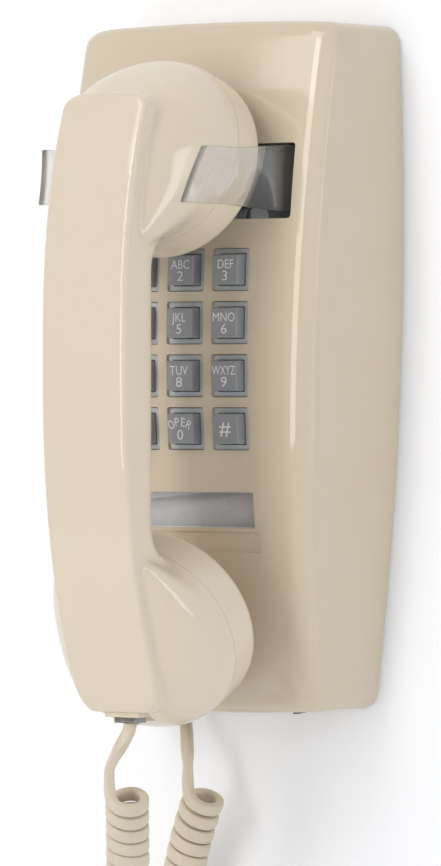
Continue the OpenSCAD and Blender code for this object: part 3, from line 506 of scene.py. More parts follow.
@dataclass
class Studio:
    """Camera, wall, floor and lamps."""

    azimuth: float = 31.783         # degrees round the telephone from straight ahead
    elevation: float = -0.22
    distance: float = 1.88272       # metres from the origin
    focal_px: float = 5562.3        # focal length in pixels of the picture's long side
    picture: tuple[int, int] = (441, 866)
    centre_px: Pair = (259.87, 368.01)   # where the lens axis would meet the picture
    film: float = 36.0

    def camera(self) -> None:
        """Place the camera and aim it at the picture's middle."""
        az, el = math.radians(self.azimuth), math.radians(self.elevation)
        ahead = Vector((-math.sin(az) * math.cos(el), math.cos(az) * math.cos(el), -math.sin(el)))
        right = Vector((math.cos(az), math.sin(az), 0))
        up = right.cross(ahead)
        aim = (ahead * self.focal_px + right * (self.picture[0] / 2 - self.centre_px[0])
               - up * (self.picture[1] / 2 - self.centre_px[1]))
        data = bpy.data.cameras.new("camera")
        data.sensor_width = self.film
        data.lens = aim.length * self.film / self.picture[1]
        data.clip_start, data.clip_end = 0.05, 50
        eye = bpy.data.objects.new("camera", data)
        bpy.context.scene.collection.objects.link(eye)
        back = -aim.normalized()
        side = Vector((0, 0, 1)).cross(back).normalized()
        turn = Matrix((side, back.cross(side), back)).transposed()
        eye.matrix_world = Matrix.Translation(-ahead * self.distance) @ turn.to_4x4()
        bpy.context.scene.camera = eye

    def lamp(self, name: str, at: Triple, size: Pair, watts: float,
             colour: str = "FFFFFF") -> None:
        """Hang an area lamp that faces the origin.

        Args:
            name: the lamp's name.
            at: its place in metres.
            size: width and height in metres.
            watts: its power.
            colour: its sRGB colour.
        """
        data = set_up(bpy.data.lights.new(name, "AREA"), shape="RECTANGLE", size=size[0], size_y=size[1],
                      energy=watts, color=linear(colour)[:3])
        thing = bpy.data.objects.new(name, data)
        thing.location = at
        thing.rotation_euler = (-Vector(at)).to_track_quat("-Z", "Y").to_euler()
        bpy.context.scene.collection.objects.link(thing)

    def lights(self) -> None:
        """Set the lamps and the world."""
        self.lamp("key_softbox", (-0.6, -1.566, 1.39), (0.9, 1.1), 8, "FFFBF6")
        self.lamp("front_softbox", (-0.5, -2.0, 0.45), (0.45, 1.7), 10, "FFFBF6")
        self.lamp("side_softbox", (1.9, -0.3, 0.15), (0.3, 1.1), 3.4)
        world = bpy.data.worlds.new("studio")
        bpy.context.scene.world = world
        world.use_nodes = True
        back = world.node_tree.nodes["Background"]
        back.inputs["Color"].default_value = linear("FAFCFF")
        back.inputs["Strength"].default_value = 0.62

    def covered(self, material: Material) -> Socket:
        """Find the part of the wall that the telephone covers: it lets light to the telephone's back.

        The opening narrows downwards, as the telephone does: the size of x stays under half width plus
        taper times z, and the size of z under half height. It is shut to what is seen from the front.

        Args:
            material: the wall's material, which gets the nodes.

        Returns:
            A socket that is 1 in the opening and 0 elsewhere.
        """
        half_w, taper, half_h = 0.047, 0.055, 0.111
        parts = add_node(material, "ShaderNodeSeparateXYZ", inputs={0: placed(material)}).outputs
        limit = worked(material, "MULTIPLY_ADD", parts["Z"], taper, half_w)
        across = worked(material, "LESS_THAN", worked(material, "ABSOLUTE", parts["X"]), limit)
        along = worked(material, "LESS_THAN", worked(material, "ABSOLUTE", parts["Z"]), half_h)
        path = add_node(material, "ShaderNodeLightPath").outputs
        light = worked(material, "MAXIMUM", path["Is Shadow Ray"], path["Is Diffuse Ray"])
        return worked(material, "MULTIPLY", worked(material, "MULTIPLY", across, along), light)

    def backdrop(self) -> None:
        """Put a white wall behind the telephone that rolls into a floor below the cord."""
        wall_y, floor_z, bend, half, reach = 0.0006, -0.66, 0.25, 3.0, 3.0
        glow = 0.1                      # lifts the wall to white where it is seen
        a = np.linspace(0, math.pi / 2, 24)
        y = np.concatenate([[wall_y], wall_y - bend + bend * np.cos(a), [wall_y - reach]])
        z = np.concatenate([[3.0], floor_z + bend - bend * np.sin(a), [floor_z]])
        x = np.array([half, -half])
        grid = np.stack(np.broadcast_arrays(x[None, :], y[:, None], z[:, None]), -1) / MM
        mesh = mesh_from("backdrop", grid, grid_faces(len(y), 2, False))
        wall = make_object("backdrop", mesh)
        material = blank("matt_white_paper")
        path = add_node(material, "ShaderNodeLightPath").outputs
        seen = worked(material, "MAXIMUM", path["Is Camera Ray"], path["Is Transmission Ray"])
        shaded(material, {
            "Base Color": (0.93, 0.94, 0.96, 1), "Roughness": 0.9, "Specular IOR Level": 0.1,
            "Emission Color": (1, 1, 1, 1), "Emission Strength": worked(material, "MULTIPLY", seen, glow)})
        behind = add_node(material, "ShaderNodeNewGeometry").outputs["Backfacing"]
        through = add_node(material, "ShaderNodeBsdfTransparent")
        sides = add_node(material, "ShaderNodeMixShader", inputs={
            0: worked(material, "MAXIMUM", behind, self.covered(material)),
            1: shader_of(material).outputs[0], 2: through.outputs[0]})
        fill(material, material.node_tree.nodes["Material Output"], {"Surface": sides.outputs[0]})
        mesh.materials.append(material)

    def build(self) -> None:
        """Make the whole studio."""
        bpy.context.scene.view_settings.view_transform = "Standard"
        self.camera()
        self.lights()
        self.backdrop()


# ---- Curly cord ----


@dataclass
class CurlyCord:
    """The handset's cord: a plain lead, a long run of curls that hangs in a U, and a plain lead."""

    cord_w: float = 3.7             # width and thickness of the band
    cord_t: float = 2.8
    curl_d: float = 14.4            # outer width of the curls
    curl_pitch: float = 4.8         # pitch on the handset's side, in the bend and on the housing's side
    bend_pitch: float = 5.2
    slack_pitch: float = 4.95
    run_curls: int = 29             # curls on the handset's side
    ramp: float = 0.25              # the curls start and end softly over this part of one
    forward: Triple = (0.527, -0.85, 0.0)   # the top curls tip this way
    tip_a: float = 0.8              # slope of the top curls on the handset's side, and where it fades
    tip_len_a: float = 40.0
    tip_b: float = 0.5              # the same on the housing's side
    tip_len_b: float = 34.0
    top_a_at: Triple = (-1.3, -80.3, -139.7)
    top_b_at: Triple = (-21.0, -19.2, -143.5)
    lean: float = 0.36              # slope aside at the housing's end, and the lengths straight and curved
    lean_line: float = 8.0
    lean_curve: float = 45.0
    start_angle: float = 256.4
    short_by: float = 0.0755        # how far the last curl stops short of a whole one
    steps_per_curl: int = 20
    sides: int = 16
    lead_step: float = 1.0          # spacing of the points of a lead
    untwist: int = 6                # rounds of smoothing of the way that the flat side faces
    lead_a: list[list[float]] = field(default_factory=lambda: [
        [0, -80.4, -116], [0, -80.4, -117.2], [-0.35, -80.55, -118.6], [-1.2, -80.95, -120.6],
        [-2.3, -81.5, -122.8], [-3.4, -82.05, -125], [-4.5, -82.6, -127.2], [-5.4, -83.05, -129.2],
        [-6, -83.33, -131]])
    lead_b: list[list[float]] = field(default_factory=lambda: [
        [-22, -12, -116], [-22, -12, -118], [-21.6, -12.6, -119.8], [-20.7, -13.9, -121.5],
        [-19.3, -15.8, -123.2], [-17.7, -18.2, -124.9], [-16.3, -20.3, -126.7], [-15.2, -21.8, -128.7],
        [-14.6, -22.6, -130.9], [-14.4, -22.8, -133.2]])
    lead_face: Triple = (0.3, -1.0, 0.0)    # way that a lead's flat side faces at its plug
    lead_w: float = 4.1
    lead_t: float = 3.3
    band_w: float = 4.6             # widest that a curl's band gets, and its least gap to the next band
    band_gap: float = 0.12
    flatness: float = 0.48          # how square the section is: 1 is an ellipse

    def __post_init__(self) -> None:
        """Work out the runs of the U."""
        self.curl_r = (self.curl_d - self.cord_t) / 2
        self.way = np.array(self.forward)
        self.top_a = np.array(self.top_a_at) - self.tip_a * self.tip_len_a / 2 * self.way
        top_b = np.array(self.top_b_at) - self.tip_b * self.tip_len_b / 2 * self.way
        self.apart = np.array([top_b[0] - self.top_a[0], top_b[1] - self.top_a[1], 0])
        self.across = unit(self.apart)
        self.side = np.array([self.across[1], -self.across[0], 0])
        self.bend_r = np.linalg.norm(self.apart) / 2
        self.run_a = self.run_curls * self.curl_pitch
        self.bend_run = math.pi * self.bend_r
        self.run_b = self.run_a + top_b[2] - self.top_a[2]
        self.whole = self.run_a + self.bend_run + self.run_b
        self.curls_a = self.run_a / self.curl_pitch
        self.curls_bend = self.bend_run / self.bend_pitch
        curls = self.curls_a + self.curls_bend + self.run_b / self.slack_pitch
        self.curls_all = math.floor(curls) - self.short_by
        self.curls_b = self.curls_all - self.curls_a - self.curls_bend
        self.ramp_rise = 2 * math.pi * self.curl_r * self.ramp * math.pi / 4

    def middle(self, s: Array) -> Array:
        """Middle line of the curls: straight down, a half circle of the U's radius, and up.

        Near each end it tips forward as a parabola, and near the far end it leans aside as well.

        Args:
            s: distances along the line from the handset's side, in millimetres.

        Returns:
            A point for each distance.
        """
        s = np.asarray(s, float)[..., None]
        down = np.array([0.0, 0.0, 1.0])
        x = s - self.whole + self.lean_line + self.lean_curve
        shift = np.where(x <= 0, 0, np.where(x < self.lean_curve, self.lean * x * x / (2 * self.lean_curve),
                                             self.lean * (x - self.lean_curve / 2)))
        a = np.pi * (s - self.run_a) / self.bend_run
        bend = (self.top_a + self.bend_r * (1 - np.cos(a)) * self.across
                - (self.run_a + self.bend_r * np.sin(a)) * down)
        up = self.top_a + self.apart - (self.run_a - (s - self.run_a - self.bend_run)) * down
        line = np.where(s <= self.run_a, self.top_a - s * down,
                        np.where(s >= self.run_a + self.bend_run, up, bend))
        tip = (self.tip_a * np.maximum(0, self.tip_len_a - s) ** 2 / (2 * self.tip_len_a)
               + self.tip_b * np.maximum(0, s - self.whole + self.tip_len_b) ** 2 / (2 * self.tip_len_b))
        return line + shift * np.array([1.0, 0.0, 0.0]) + tip * self.way

    def run_at(self, turns: Array) -> Array:
        """Distance along the middle line after so many curls, with a pitch for each of the three runs."""
        t = turns
        return np.where(t <= self.curls_a, t * self.curl_pitch, np.where(
            t <= self.curls_a + self.curls_bend, self.run_a + (t - self.curls_a) * self.bend_pitch,
            self.run_a + self.bend_run + (t - self.curls_a - self.curls_bend) * self.run_b / self.curls_b))

    def turned(self, t: Array) -> Array:
        """Curls made at step t: t squared over twice the ramp at first, then t less half the ramp."""
        return np.where(t < self.ramp, t * t / (2 * self.ramp), t - self.ramp / 2)

    def rise(self, t: Array) -> Array:
        """How far the cord still has to come down at step t, from the ramp's rise to nothing."""
        u = np.minimum(1, t / self.ramp)
        return self.ramp_rise * (1 - (u * np.sqrt(1 - u * u) + np.arcsin(u)) * 2 / np.pi)

    def curls(self) -> tuple[Array, Array]:
        """The cord's line through the curls: a circle of the curl's radius carried square to the middle line.

        Returns:
            Points of the line, and the way out from the middle at each.
        """
        steps = round((self.curls_all + self.ramp) * self.steps_per_curl)
        t = np.arange(steps + 1) * (self.curls_all + self.ramp) / steps
        back = self.curls_all + self.ramp - t
        turns = np.where(t < back, self.turned(t), self.curls_all - self.turned(np.maximum(back, 0)))
        s = self.run_at(turns)
        angle = np.radians(self.start_angle - 360 * turns)[:, None]
        along = unit(self.middle(s + 0.5) - self.middle(s - 0.5))
        n = unit(np.cross(np.broadcast_to(self.side, along.shape), along))
        b = np.cross(along, n)
        height = (self.rise(t) + self.rise(np.maximum(back, 0)))[:, None] * np.array([0, 0, 1.0])
        middle = self.middle(s)
        points = middle + self.curl_r * (np.cos(angle) * n + np.sin(angle) * b) + height
        return points, points - middle

    @staticmethod
    def spline(points: Array, spacing: float) -> Array:
        """Resample points on a Catmull-Rom curve at about even spacing."""
        p = np.vstack([2 * points[0] - points[1], points, 2 * points[-1] - points[-2]])
        parts = []
        for i in range(1, len(p) - 2):
            count = max(1, int(round(np.linalg.norm(p[i + 1] - p[i]) / spacing)))
            u = (np.arange(count) / count)[:, None]
            parts.append(0.5 * (2 * p[i] + (p[i + 1] - p[i - 1]) * u
                                + (2 * p[i - 1] - 5 * p[i] + 4 * p[i + 1] - p[i + 2]) * u ** 2
                                + (3 * p[i] - p[i - 1] - 3 * p[i + 1] + p[i + 2]) * u ** 3))
        return np.vstack(parts + [points[-1:]])

    def line(self) -> tuple[Array, Array, Array]:
        """The whole cord's line from the handset's plug to the housing's.

        Returns:
            Its points, the way its flat side faces at each, and its thickness and width at each.
        """
        curls, out = self.curls()
        parts, ways = [curls], [unit(out)]
        for points, end in ((self.lead_a, 0), (self.lead_b, -1)):
            lead = self.spline(np.vstack([points, curls[end]]), self.lead_step)[:-1]
            face = unit(np.array(self.lead_face))
            last = unit(out)[end] * (1 if face @ out[end] > 0 else -1)
            u = smooth(np.linspace(0, 1, len(lead)))[:, None]
            way = unit((1 - u) * face + u * last) * (1 if face @ out[end] > 0 else -1)
            parts = [lead, *parts] if end == 0 else [*parts, lead[::-1]]
            ways = [way, *ways] if end == 0 else [*ways, way[::-1]]
        n = self.steps_per_curl
        near = np.full(len(curls), np.inf)
        for step in range(n - 3, n + 4):
            apart = np.linalg.norm(curls[step:] - curls[:-step], axis=1)
            near[:-step] = np.minimum(near[:-step], apart)
            near[step:] = np.minimum(near[step:], apart)
        wide = np.minimum(self.band_w, near - self.band_gap)
        ramp = np.minimum(1, np.minimum(np.arange(len(wide)), np.arange(len(wide))[::-1]) / n)
        lead = np.array([self.lead_t, self.lead_w])
        curl = np.stack([np.full_like(wide, self.cord_t), wide], -1)
        size = np.vstack([np.tile(lead, (len(parts[0]), 1)), lead + (curl - lead) * ramp[:, None],
                          np.tile(lead, (len(parts[2]), 1))])
        turned = np.vstack(ways)
        for _ in range(self.untwist):
            turned[1:-1] = unit(turned[:-2] + 2 * turned[1:-1] + turned[2:])
        return np.vstack(parts), turned, size

    def build(self, palette: Palette) -> None:
        """Sweep the flat section along the line."""
        points, ways, size = self.line()
        along = unit(np.gradient(points, axis=0))
        along[0] = along[-1] = (0, 0, -1)
        along[-1] *= -1
        v = unit(np.cross(ways, along))
        u = np.cross(along, v)
        a = 2 * np.pi * (np.arange(self.sides) + 0.5)[None, :, None] / self.sides
        thick = size[:, :1, None] / 2 * squared(np.cos(a), self.flatness)
        wide = size[:, 1:, None] / 2 * squared(np.sin(a), self.flatness)
        cord = make_object("curly_cord", tubes(
            "curly_cord", [points[:, None] + thick * u[:, None] + wide * v[:, None]]))
        cord.data.materials.append(palette.get(Finish.CORD))
        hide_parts("cord_lead_handset", "cord_coil", "cord_lead_base")
        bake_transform(cord)


# ---- Housing ----


@dataclass
class Housing:
    """The moulded shell: drafted sides, a rolled edge and an arched front with its windows and recesses."""

    half_h: float = 113.5
    half_w: float = 56.4
    depth: float = 47.4
    wall: float = 2.5
    face_r: float = 412.0           # arc of the front, and its highest place
    face_z: float = 5.0
    side_r: float = 1220.0          # arc of the sides, and their widest place
    side_z: float = 47.0
    draft: float = 0.16             # how much a side goes in per millimetre of depth
    roll_w: float = 9.0             # quarter ellipse between side and front
    roll_d: float = 4.0
    end_bow: float = 1.6            # how far the ends bulge in their middle
    top_round: float = 5.5
    bottom_round: float = 4.5
    end_drop: float = 3.0           # how far the front goes back over the rounded ends
    rim_y: float = -0.5
    lip: float = 0.2                # rounding of the edges of windows and recesses
    skin_near: float = 0.02         # a face this close to the skin takes the skin's shading
    window_z: float = 61.4
    window_h: float = 25.0
    window_in: float = 14.0
    window_out: float = 39.6
    card_z: float = -47.2
    card_w: float = 50.0
    card_h: float = 12.0
    plate_w: float = 53.0
    plate_h: float = 7.0
    key_pitch: float = 17.5
    key_z: float = 6.0
    hole_w: float = 14.2
    hole_corner: float = 0.7        # corner radii of the key holes, hook windows, card window and nameplate
    window_corner: float = 1.2
    card_corner: float = 0.6
    plate_corner: float = 0.5
    hole_cut: Pair = (-6, 8)        # where a cut starts and ends, as depths from the front
    window_cut: Pair = (-6, 12)
    card_cut: Pair = (-3, 8)
    plate_cut: Pair = (-3, 0.5)
    foot_cut: Pair = (-8, 6)        # the same from the foot, for the jack and the wheel
    plate_gap: float = 1.0          # between card window and nameplate
    base_jack_at: Pair = (-22.0, -12.0)
    jack_hole: Pair = (13.3, 10.3)
    wheel_at: Pair = (20.0, -8.5)
    wheel_slot: Pair = (18.0, 4.2)

    def face_drop(self, z: Array) -> Array:
        """How far the front lies back at height z: radius r less the root of r squared less z squared."""
        return self.face_r - np.sqrt(self.face_r ** 2 - (z - self.face_z) ** 2)

    def front_y(self, z: Array) -> Array:
        """The front's place in Y at height z."""
        return self.face_drop(z) - self.depth

    def lean(self, z: float) -> float:
        """The front's lean at height z, in radians."""
        return math.asin((z - self.face_z) / self.face_r)

    def key_at(self, column: int, row: int) -> Pair:
        """X and Z of a key's centre."""
        return self.key_pitch * (column - 1), self.key_z + self.key_pitch * (1.5 - row)

    def skin(self, side_n: int = 16, roll_n: int = 12, face_n: int = 22) -> Mesh:
        """Outer skin: at each height a side, a quarter ellipse and the front, mirrored; the ends are round.

        Args:
            side_n: points along a side.
            roll_n: points round a rolled edge.
            face_n: points along half of the front.

        Returns:
            A mesh that is open at the back.
        """
        turn = np.sin(np.linspace(0, np.pi / 2, 11))
        low, high = -self.half_h + self.bottom_round, self.half_h - self.top_round
        z = np.concatenate([low - self.bottom_round * turn[:0:-1], np.linspace(low, high, 72),
                            high + self.top_round * turn[1:]])[:, None]
        r = np.where(z > 0, self.top_round, self.bottom_round)
        part = np.clip((np.abs(z) - self.half_h + r) / r, 0, 1)
        end = 1 - np.sqrt(1 - part ** 2)
        wall_half = self.half_w - self.side_r + np.sqrt(self.side_r ** 2 - (z - self.side_z) ** 2)
        half = wall_half - r * end
        depth = self.depth - self.face_drop(z) - self.end_drop * end
        side_d = depth - self.roll_d
        flat = half - self.draft * side_d - self.roll_w
        s = np.linspace(0, 1, side_n)[None]
        a = np.linspace(0, np.pi / 2, roll_n + 1)[None, 1:]
        f = np.linspace(0, 1, face_n + 1)[None, 1:]
        x = np.hstack([half - self.draft * side_d * s, flat + self.roll_w * np.cos(a), flat * (1 - f)])
        y = np.hstack([np.where(s == 0, self.rim_y, -side_d * s), -side_d - self.roll_d * np.sin(a),
                       -depth + 0 * f])
        x = np.hstack([x, -x[:, -2::-1]])
        y = np.hstack([y, y[:, -2::-1]])
        z = z + self.end_bow * (z / self.half_h) ** 3 * (1 - (x / wall_half) ** 2)
        grid = np.stack([x, y, z], -1)
        parts, faces, start = [grid.reshape(-1, 3)], [grid_faces(*x.shape, False)], x.size
        for row, way in ((0, -1), (-1, 1)):
            edge = grid[row, :side_n + roll_n]
            across = np.linspace(1, -1, 2 * face_n + 1)[None]
            ex = edge[:, :1] * across
            w = wall_half[row, 0]
            level = way * (self.half_h + self.end_bow * (1 - (ex / w) ** 2))
            cap = np.stack([ex, edge[:, 1:2] + 0 * ex, level], -1)
            quads = grid_faces(*ex.shape, False) + start
            parts.append(cap.reshape(-1, 3))
            faces.append(quads if way > 0 else quads[:, ::-1])
            start += ex.size
        mesh = mesh_from("housing_skin", np.vstack(parts), np.vstack(faces))
        with edited(mesh) as bm:
            bmesh.ops.remove_doubles(bm, verts=bm.verts, dist=4e-6)
            bmesh.ops.recalc_face_normals(bm, faces=bm.faces)
            top = max(bm.faces, key=lambda face: face.calc_center_median().z)
            if top.normal.z < 0:
                bmesh.ops.reverse_faces(bm, faces=bm.faces)
        return mesh

    @staticmethod
    def slab(centre: Pair, size: Pair, y: Pair, radius: float,
             origin_y: float = 0.0, lean: float = 0.0) -> Array:
        """A bar with rounded corners: its outline at two depths, leaned with the front.

        Args:
            centre: X and Z of its middle.
            size: width and height.
            y: front and back, from origin_y.
            radius: of its corners.
            origin_y: where its depth counts from.
            lean: its lean in radians.

        Returns:
            Two rings of points.
        """
        a = np.linspace(0, np.pi / 2, 6)
        turns = [a + k * np.pi / 2 for k in range(4)]
        corners = [(1, 1), (-1, 1), (-1, -1), (1, -1)]
        ring = np.vstack([np.stack([sx * (size[0] / 2 - radius) + radius * np.cos(t),
                                    sz * (size[1] / 2 - radius) + radius * np.sin(t)], -1)
                          for (sx, sz), t in zip(corners, turns)])
        sin, cos = math.sin(lean), math.cos(lean)
        return np.stack([np.stack([
            centre[0] + ring[:, 0], origin_y + depth * cos + ring[:, 1] * sin,
            centre[1] + ring[:, 1] * cos - depth * sin], -1) for depth in y])

    def cutters(self) -> Thing:
        """One object that holds a cutter for each hole, window and recess."""
        cuts = []
        for column in range(3):
            for row in range(4):
                x, z = self.key_at(column, row)
                hole = (self.hole_w, self.hole_w)
                cuts.append(self.slab((x, z), hole, self.hole_cut, self.hole_corner, float(self.front_y(z))))
        middle = (self.window_in + self.window_out) / 2
        window = (self.window_out - self.window_in, self.window_h)
        for side in (-1, 1):
            cuts.append(self.slab((side * middle, self.window_z), window, self.window_cut,
                                  self.window_corner, -self.depth))
        plate_z = self.card_z - self.card_h / 2 - self.plate_h / 2 - self.plate_gap
        for z, size, depths, radius in (
                (self.card_z, (self.card_w, self.card_h), self.card_cut, self.card_corner),
                (plate_z, (self.plate_w, self.plate_h), self.plate_cut, self.plate_corner)):
            cuts.append(self.slab((0, z), size, depths, radius, float(self.front_y(z)), self.lean(z)))
        low, high = self.foot_cut
        for centre, size in ((self.base_jack_at, self.jack_hole), (self.wheel_at, self.wheel_slot)):
            cuts.append(bar(centre, size, -self.half_h + low, -self.half_h + high))
        return make_object("cutters", tubes("cutters", cuts, False))

    def build(self, palette: Palette) -> None:
        """Cut the skin's openings, round their edges and keep the skin's own shading round them."""
        skin = make_object("housing_skin_source", self.skin())
        shell = make_object("housing_shell", skin.data.copy())
        set_up(shell.modifiers.new("wall", "SOLIDIFY"), thickness=self.wall * MM, offset=-1)
        cutters = self.cutters()
        cut_out(shell, cutters)
        applied(shell)
        with edited(shell.data) as bm:
            bmesh.ops.remove_doubles(bm, verts=bm.verts, dist=1e-5)
        shell.data.polygons.foreach_set("use_smooth", np.full(len(shell.data.polygons), True))
        bevel(shell, self.lip, 50, 3)
        set_up(shell.modifiers.new("even_normals", "WEIGHTED_NORMAL"), keep_sharp=False)
        set_up(shell.modifiers.new("skin_normals", "DATA_TRANSFER"), object=skin, use_loop_data=True,
               data_types_loops={"CUSTOM_NORMAL"}, loop_mapping="POLYINTERP_NEAREST",
               use_max_distance=True, max_distance=self.skin_near * MM)
        applied(shell)
        for spare in (skin, cutters):
            bpy.data.objects.remove(spare)
        finish_piece(shell, palette.get(Finish.HOUSING), "wall_set", "beige_housing", "housing")


# ---- Keypad and card ----

LONE_SIGNS = {"1": (5.4, 0.0), "*": (9.5, 1.2), "#": (6.9, 0.0)}     # size, and drop from the key's middle


@dataclass
class Keypad:
    """Twelve keys with a shallow dish and their printed legends, in a row of collars each."""

    housing: Housing
    top: float = 9.5
    base: float = 10.2
    stand: float = 3.7              # how far a key stands out of the front, and its sides go in
    sunk: float = 1.0
    root: float = 6.0               # depth of the key's lower end
    edge: float = 0.3
    spill: float = 0.3              # what the rounded edge adds to the top's width
    dish: float = 0.22
    corner: float = 0.5             # corner radius of a key 10 mm wide
    legends: tuple[tuple[str, str, str], ...] = (
        ("1", "", "1"), ("2", "ABC", "2"), ("3", "DEF", "3"), ("4", "GHI", "4"), ("5", "JKL", "5"),
        ("6", "MNO", "6"), ("7", "PQRS", "7"), ("8", "TUV", "8"), ("9", "WXYZ", "9"), ("star", "", "*"),
        ("0", "OPER", "0"), ("hash", "", "#"))
    digit_size: float = 4.7
    letter_size: float = 4.3
    arch_size: float = 4.2
    arch_r: float = 6.5             # radius of the arched word, and the turn from letter to letter
    arch_step: float = 0.355
    digit_drop: float = 2.2         # how far a digit lies under the key's middle, and words over it
    letter_up: float = 1.65
    arch_up: float = 2.1
    thinner: float = -0.01          # narrows the strokes
    ink: float = 0.04

    @staticmethod
    def rounded_square(half: Array, radius: Array, per_corner: int = 6) -> Array:
        """Rings of rounded squares: a quarter circle in each corner.

        Args:
            half: half width of each ring.
            radius: corner radius of each ring.
            per_corner: points in a corner.

        Returns:
            X and Z of each point of each ring.
        """
        a = np.concatenate([np.linspace(0, np.pi / 2, per_corner) + k * np.pi / 2 for k in range(4)])[None]
        sx = np.repeat([1, -1, -1, 1], per_corner)[None]
        sz = np.repeat([1, 1, -1, -1], per_corner)[None]
        inner = (half - radius)[:, None]
        return np.stack([sx * inner + radius[:, None] * np.cos(a),
                         sz * inner + radius[:, None] * np.sin(a)], -1)

    def key_mesh(self, name: str, x: float, z: float) -> Mesh:
        """A key: drafted sides, a rounded edge and a dished top that is deepest in its middle."""
        t = np.linspace(0, np.pi / 2, 5)
        side_half = np.array([self.base / 2, self.base / 2, (self.base + self.top + self.spill) / 4])
        side_deep = np.array([-self.root, -self.sunk, self.stand / 2])
        top_half = (self.top + self.spill) / 2
        edge_half = top_half - self.edge * (1 - np.cos(t))
        edge_deep = self.stand - self.edge * (1 - np.sin(t))
        inner = np.linspace(0.92, 0.02, 10)
        face_half = edge_half[-1] * inner
        face_deep = self.stand - self.dish * (1 - inner ** 2)
        half = np.concatenate([side_half, edge_half, face_half])
        deep = np.concatenate([side_deep, edge_deep, face_deep])
        ring = self.rounded_square(half, half * self.corner / 5)
        slope = math.tan(self.housing.lean(z))
        y = float(self.housing.front_y(z)) - deep[:, None] + slope * ring[..., 1]
        grid = np.stack([x + ring[..., 0], y, z + ring[..., 1]], -1)
        mesh = tubes(name, [grid])
        sharpen(mesh, 50)
        return mesh

    def legend(self, words: str, size: float, at: Pair, turn: float = 0.0,
               widest: float = 8.9, stretch: float = 0.87) -> Mesh:
        """Set a word as a thin upright print round Y = 0.

        Args:
            words: what it says.
            size: height of its type in millimetres.
            at: X and Z of its middle.
            turn: how far it is turned, in radians.
            widest: the width in millimetres that it is squeezed to, if it is wider.
            stretch: its width against the plain type's.

        Returns:
            The print's mesh.
        """
        curve = set_up(bpy.data.curves.new("print", "FONT"), body=words, align_x="CENTER", align_y="CENTER",
                       size=size * MM, extrude=self.ink * MM / 2, offset=self.thinner * MM, resolution_u=3)
        holder = make_object("print", curve)
        bpy.context.view_layer.update()
        graph = bpy.context.evaluated_depsgraph_get()
        mesh = bpy.data.meshes.new_from_object(holder.evaluated_get(graph))
        bpy.data.objects.remove(holder)
        across = [vert.co.x for vert in mesh.vertices]
        squeeze = min(stretch, widest * MM / (max(across) - min(across)))
        place = (Matrix.Translation(Vector((at[0], 0, at[1])) * MM) @ Matrix.Rotation(math.pi / 2, 4, "X")
                 @ Matrix.Rotation(turn, 4, "Z") @ Matrix.Diagonal((squeeze, 1, 1, 1)))
        mesh.transform(place)
        return mesh

    def prints(self, letters: str, digit: str, x: float, z: float) -> list[Mesh]:
        """The legend of one key: letters over a digit, or one sign."""
        if not letters:
            size, drop = LONE_SIGNS[digit]
            return [self.legend(digit, size, (x, z - drop), stretch=1.1)]
        parts = [self.legend(digit, self.digit_size, (x, z - self.digit_drop), stretch=1.15)]
        if letters == "OPER":
            for i, letter in enumerate(letters):
                turn = (1.5 - i) * self.arch_step
                level = z + self.arch_up - self.arch_r * (1 - math.cos(turn))
                place = x - self.arch_r * math.sin(turn), level
                parts.append(self.legend(letter, self.arch_size, place, turn, 2.2))
        else:
            parts.append(self.legend(letters, self.letter_size, (x, z + self.letter_up)))
        return parts

    def laid_on(self, key: Mesh, meshes: list[Mesh], name: str) -> Mesh:
        """Join prints into one mesh that lies on a key's dished face."""
        bm = bmesh.new()
        bm.from_mesh(key)
        face = BVHTree.FromBMesh(bm)
        bm.clear()
        for mesh in meshes:
            bm.from_mesh(mesh)
        for vert in bm.verts:
            hit = face.ray_cast(Vector((vert.co.x, -1, vert.co.z)), Vector((0, 1, 0)))[0]
            vert.co.y += hit.y - self.ink * 0.3 * MM
        whole = bpy.data.meshes.new(name)
        bm.to_mesh(whole)
        bm.free()
        return whole

    def build(self, palette: Palette) -> None:
        """Make the keys, their legends and the collars."""
        for number, (label, letters, digit) in enumerate(self.legends):
            x, z = self.housing.key_at(number % 3, number // 3)
            body = f"button_{label}"
            key = make_object(f"key_cap_{label}", self.key_mesh(f"key_cap_{label}", x, z))
            finish_piece(key, palette.get(Finish.KEYS), body, "grey_keys", f"key_{label}")
            legend = self.laid_on(key.data, self.prints(letters, digit, x, z), f"legend_{label}")
            print_of = make_object(f"legend_{label}", legend)
            finish_piece(print_of, palette.get(Finish.LEGEND), body, "grey_keys")
        for node, name, edge, finish, slot in (
                ("keypad_bezel", "collars", 0.3, Finish.COLLARS, "grey_collars"),
                ("card_window", "card_lens", 0.25, Finish.LENS, "clear_plastic")):
            crisp_piece(merged_copy(node, name), edge, 2, 40, finish, palette, "wall_set", slot, node)


# ---- Handset ----


@dataclass(frozen=True)
class Head:
    """One head of the handset: seam, end in the handle, which way is up, and the leans of both."""

    seam_d: float
    seam_z: float
    end_d: float
    end_z: float
    way: int
    seam_tilt: float
    end_tilt: float


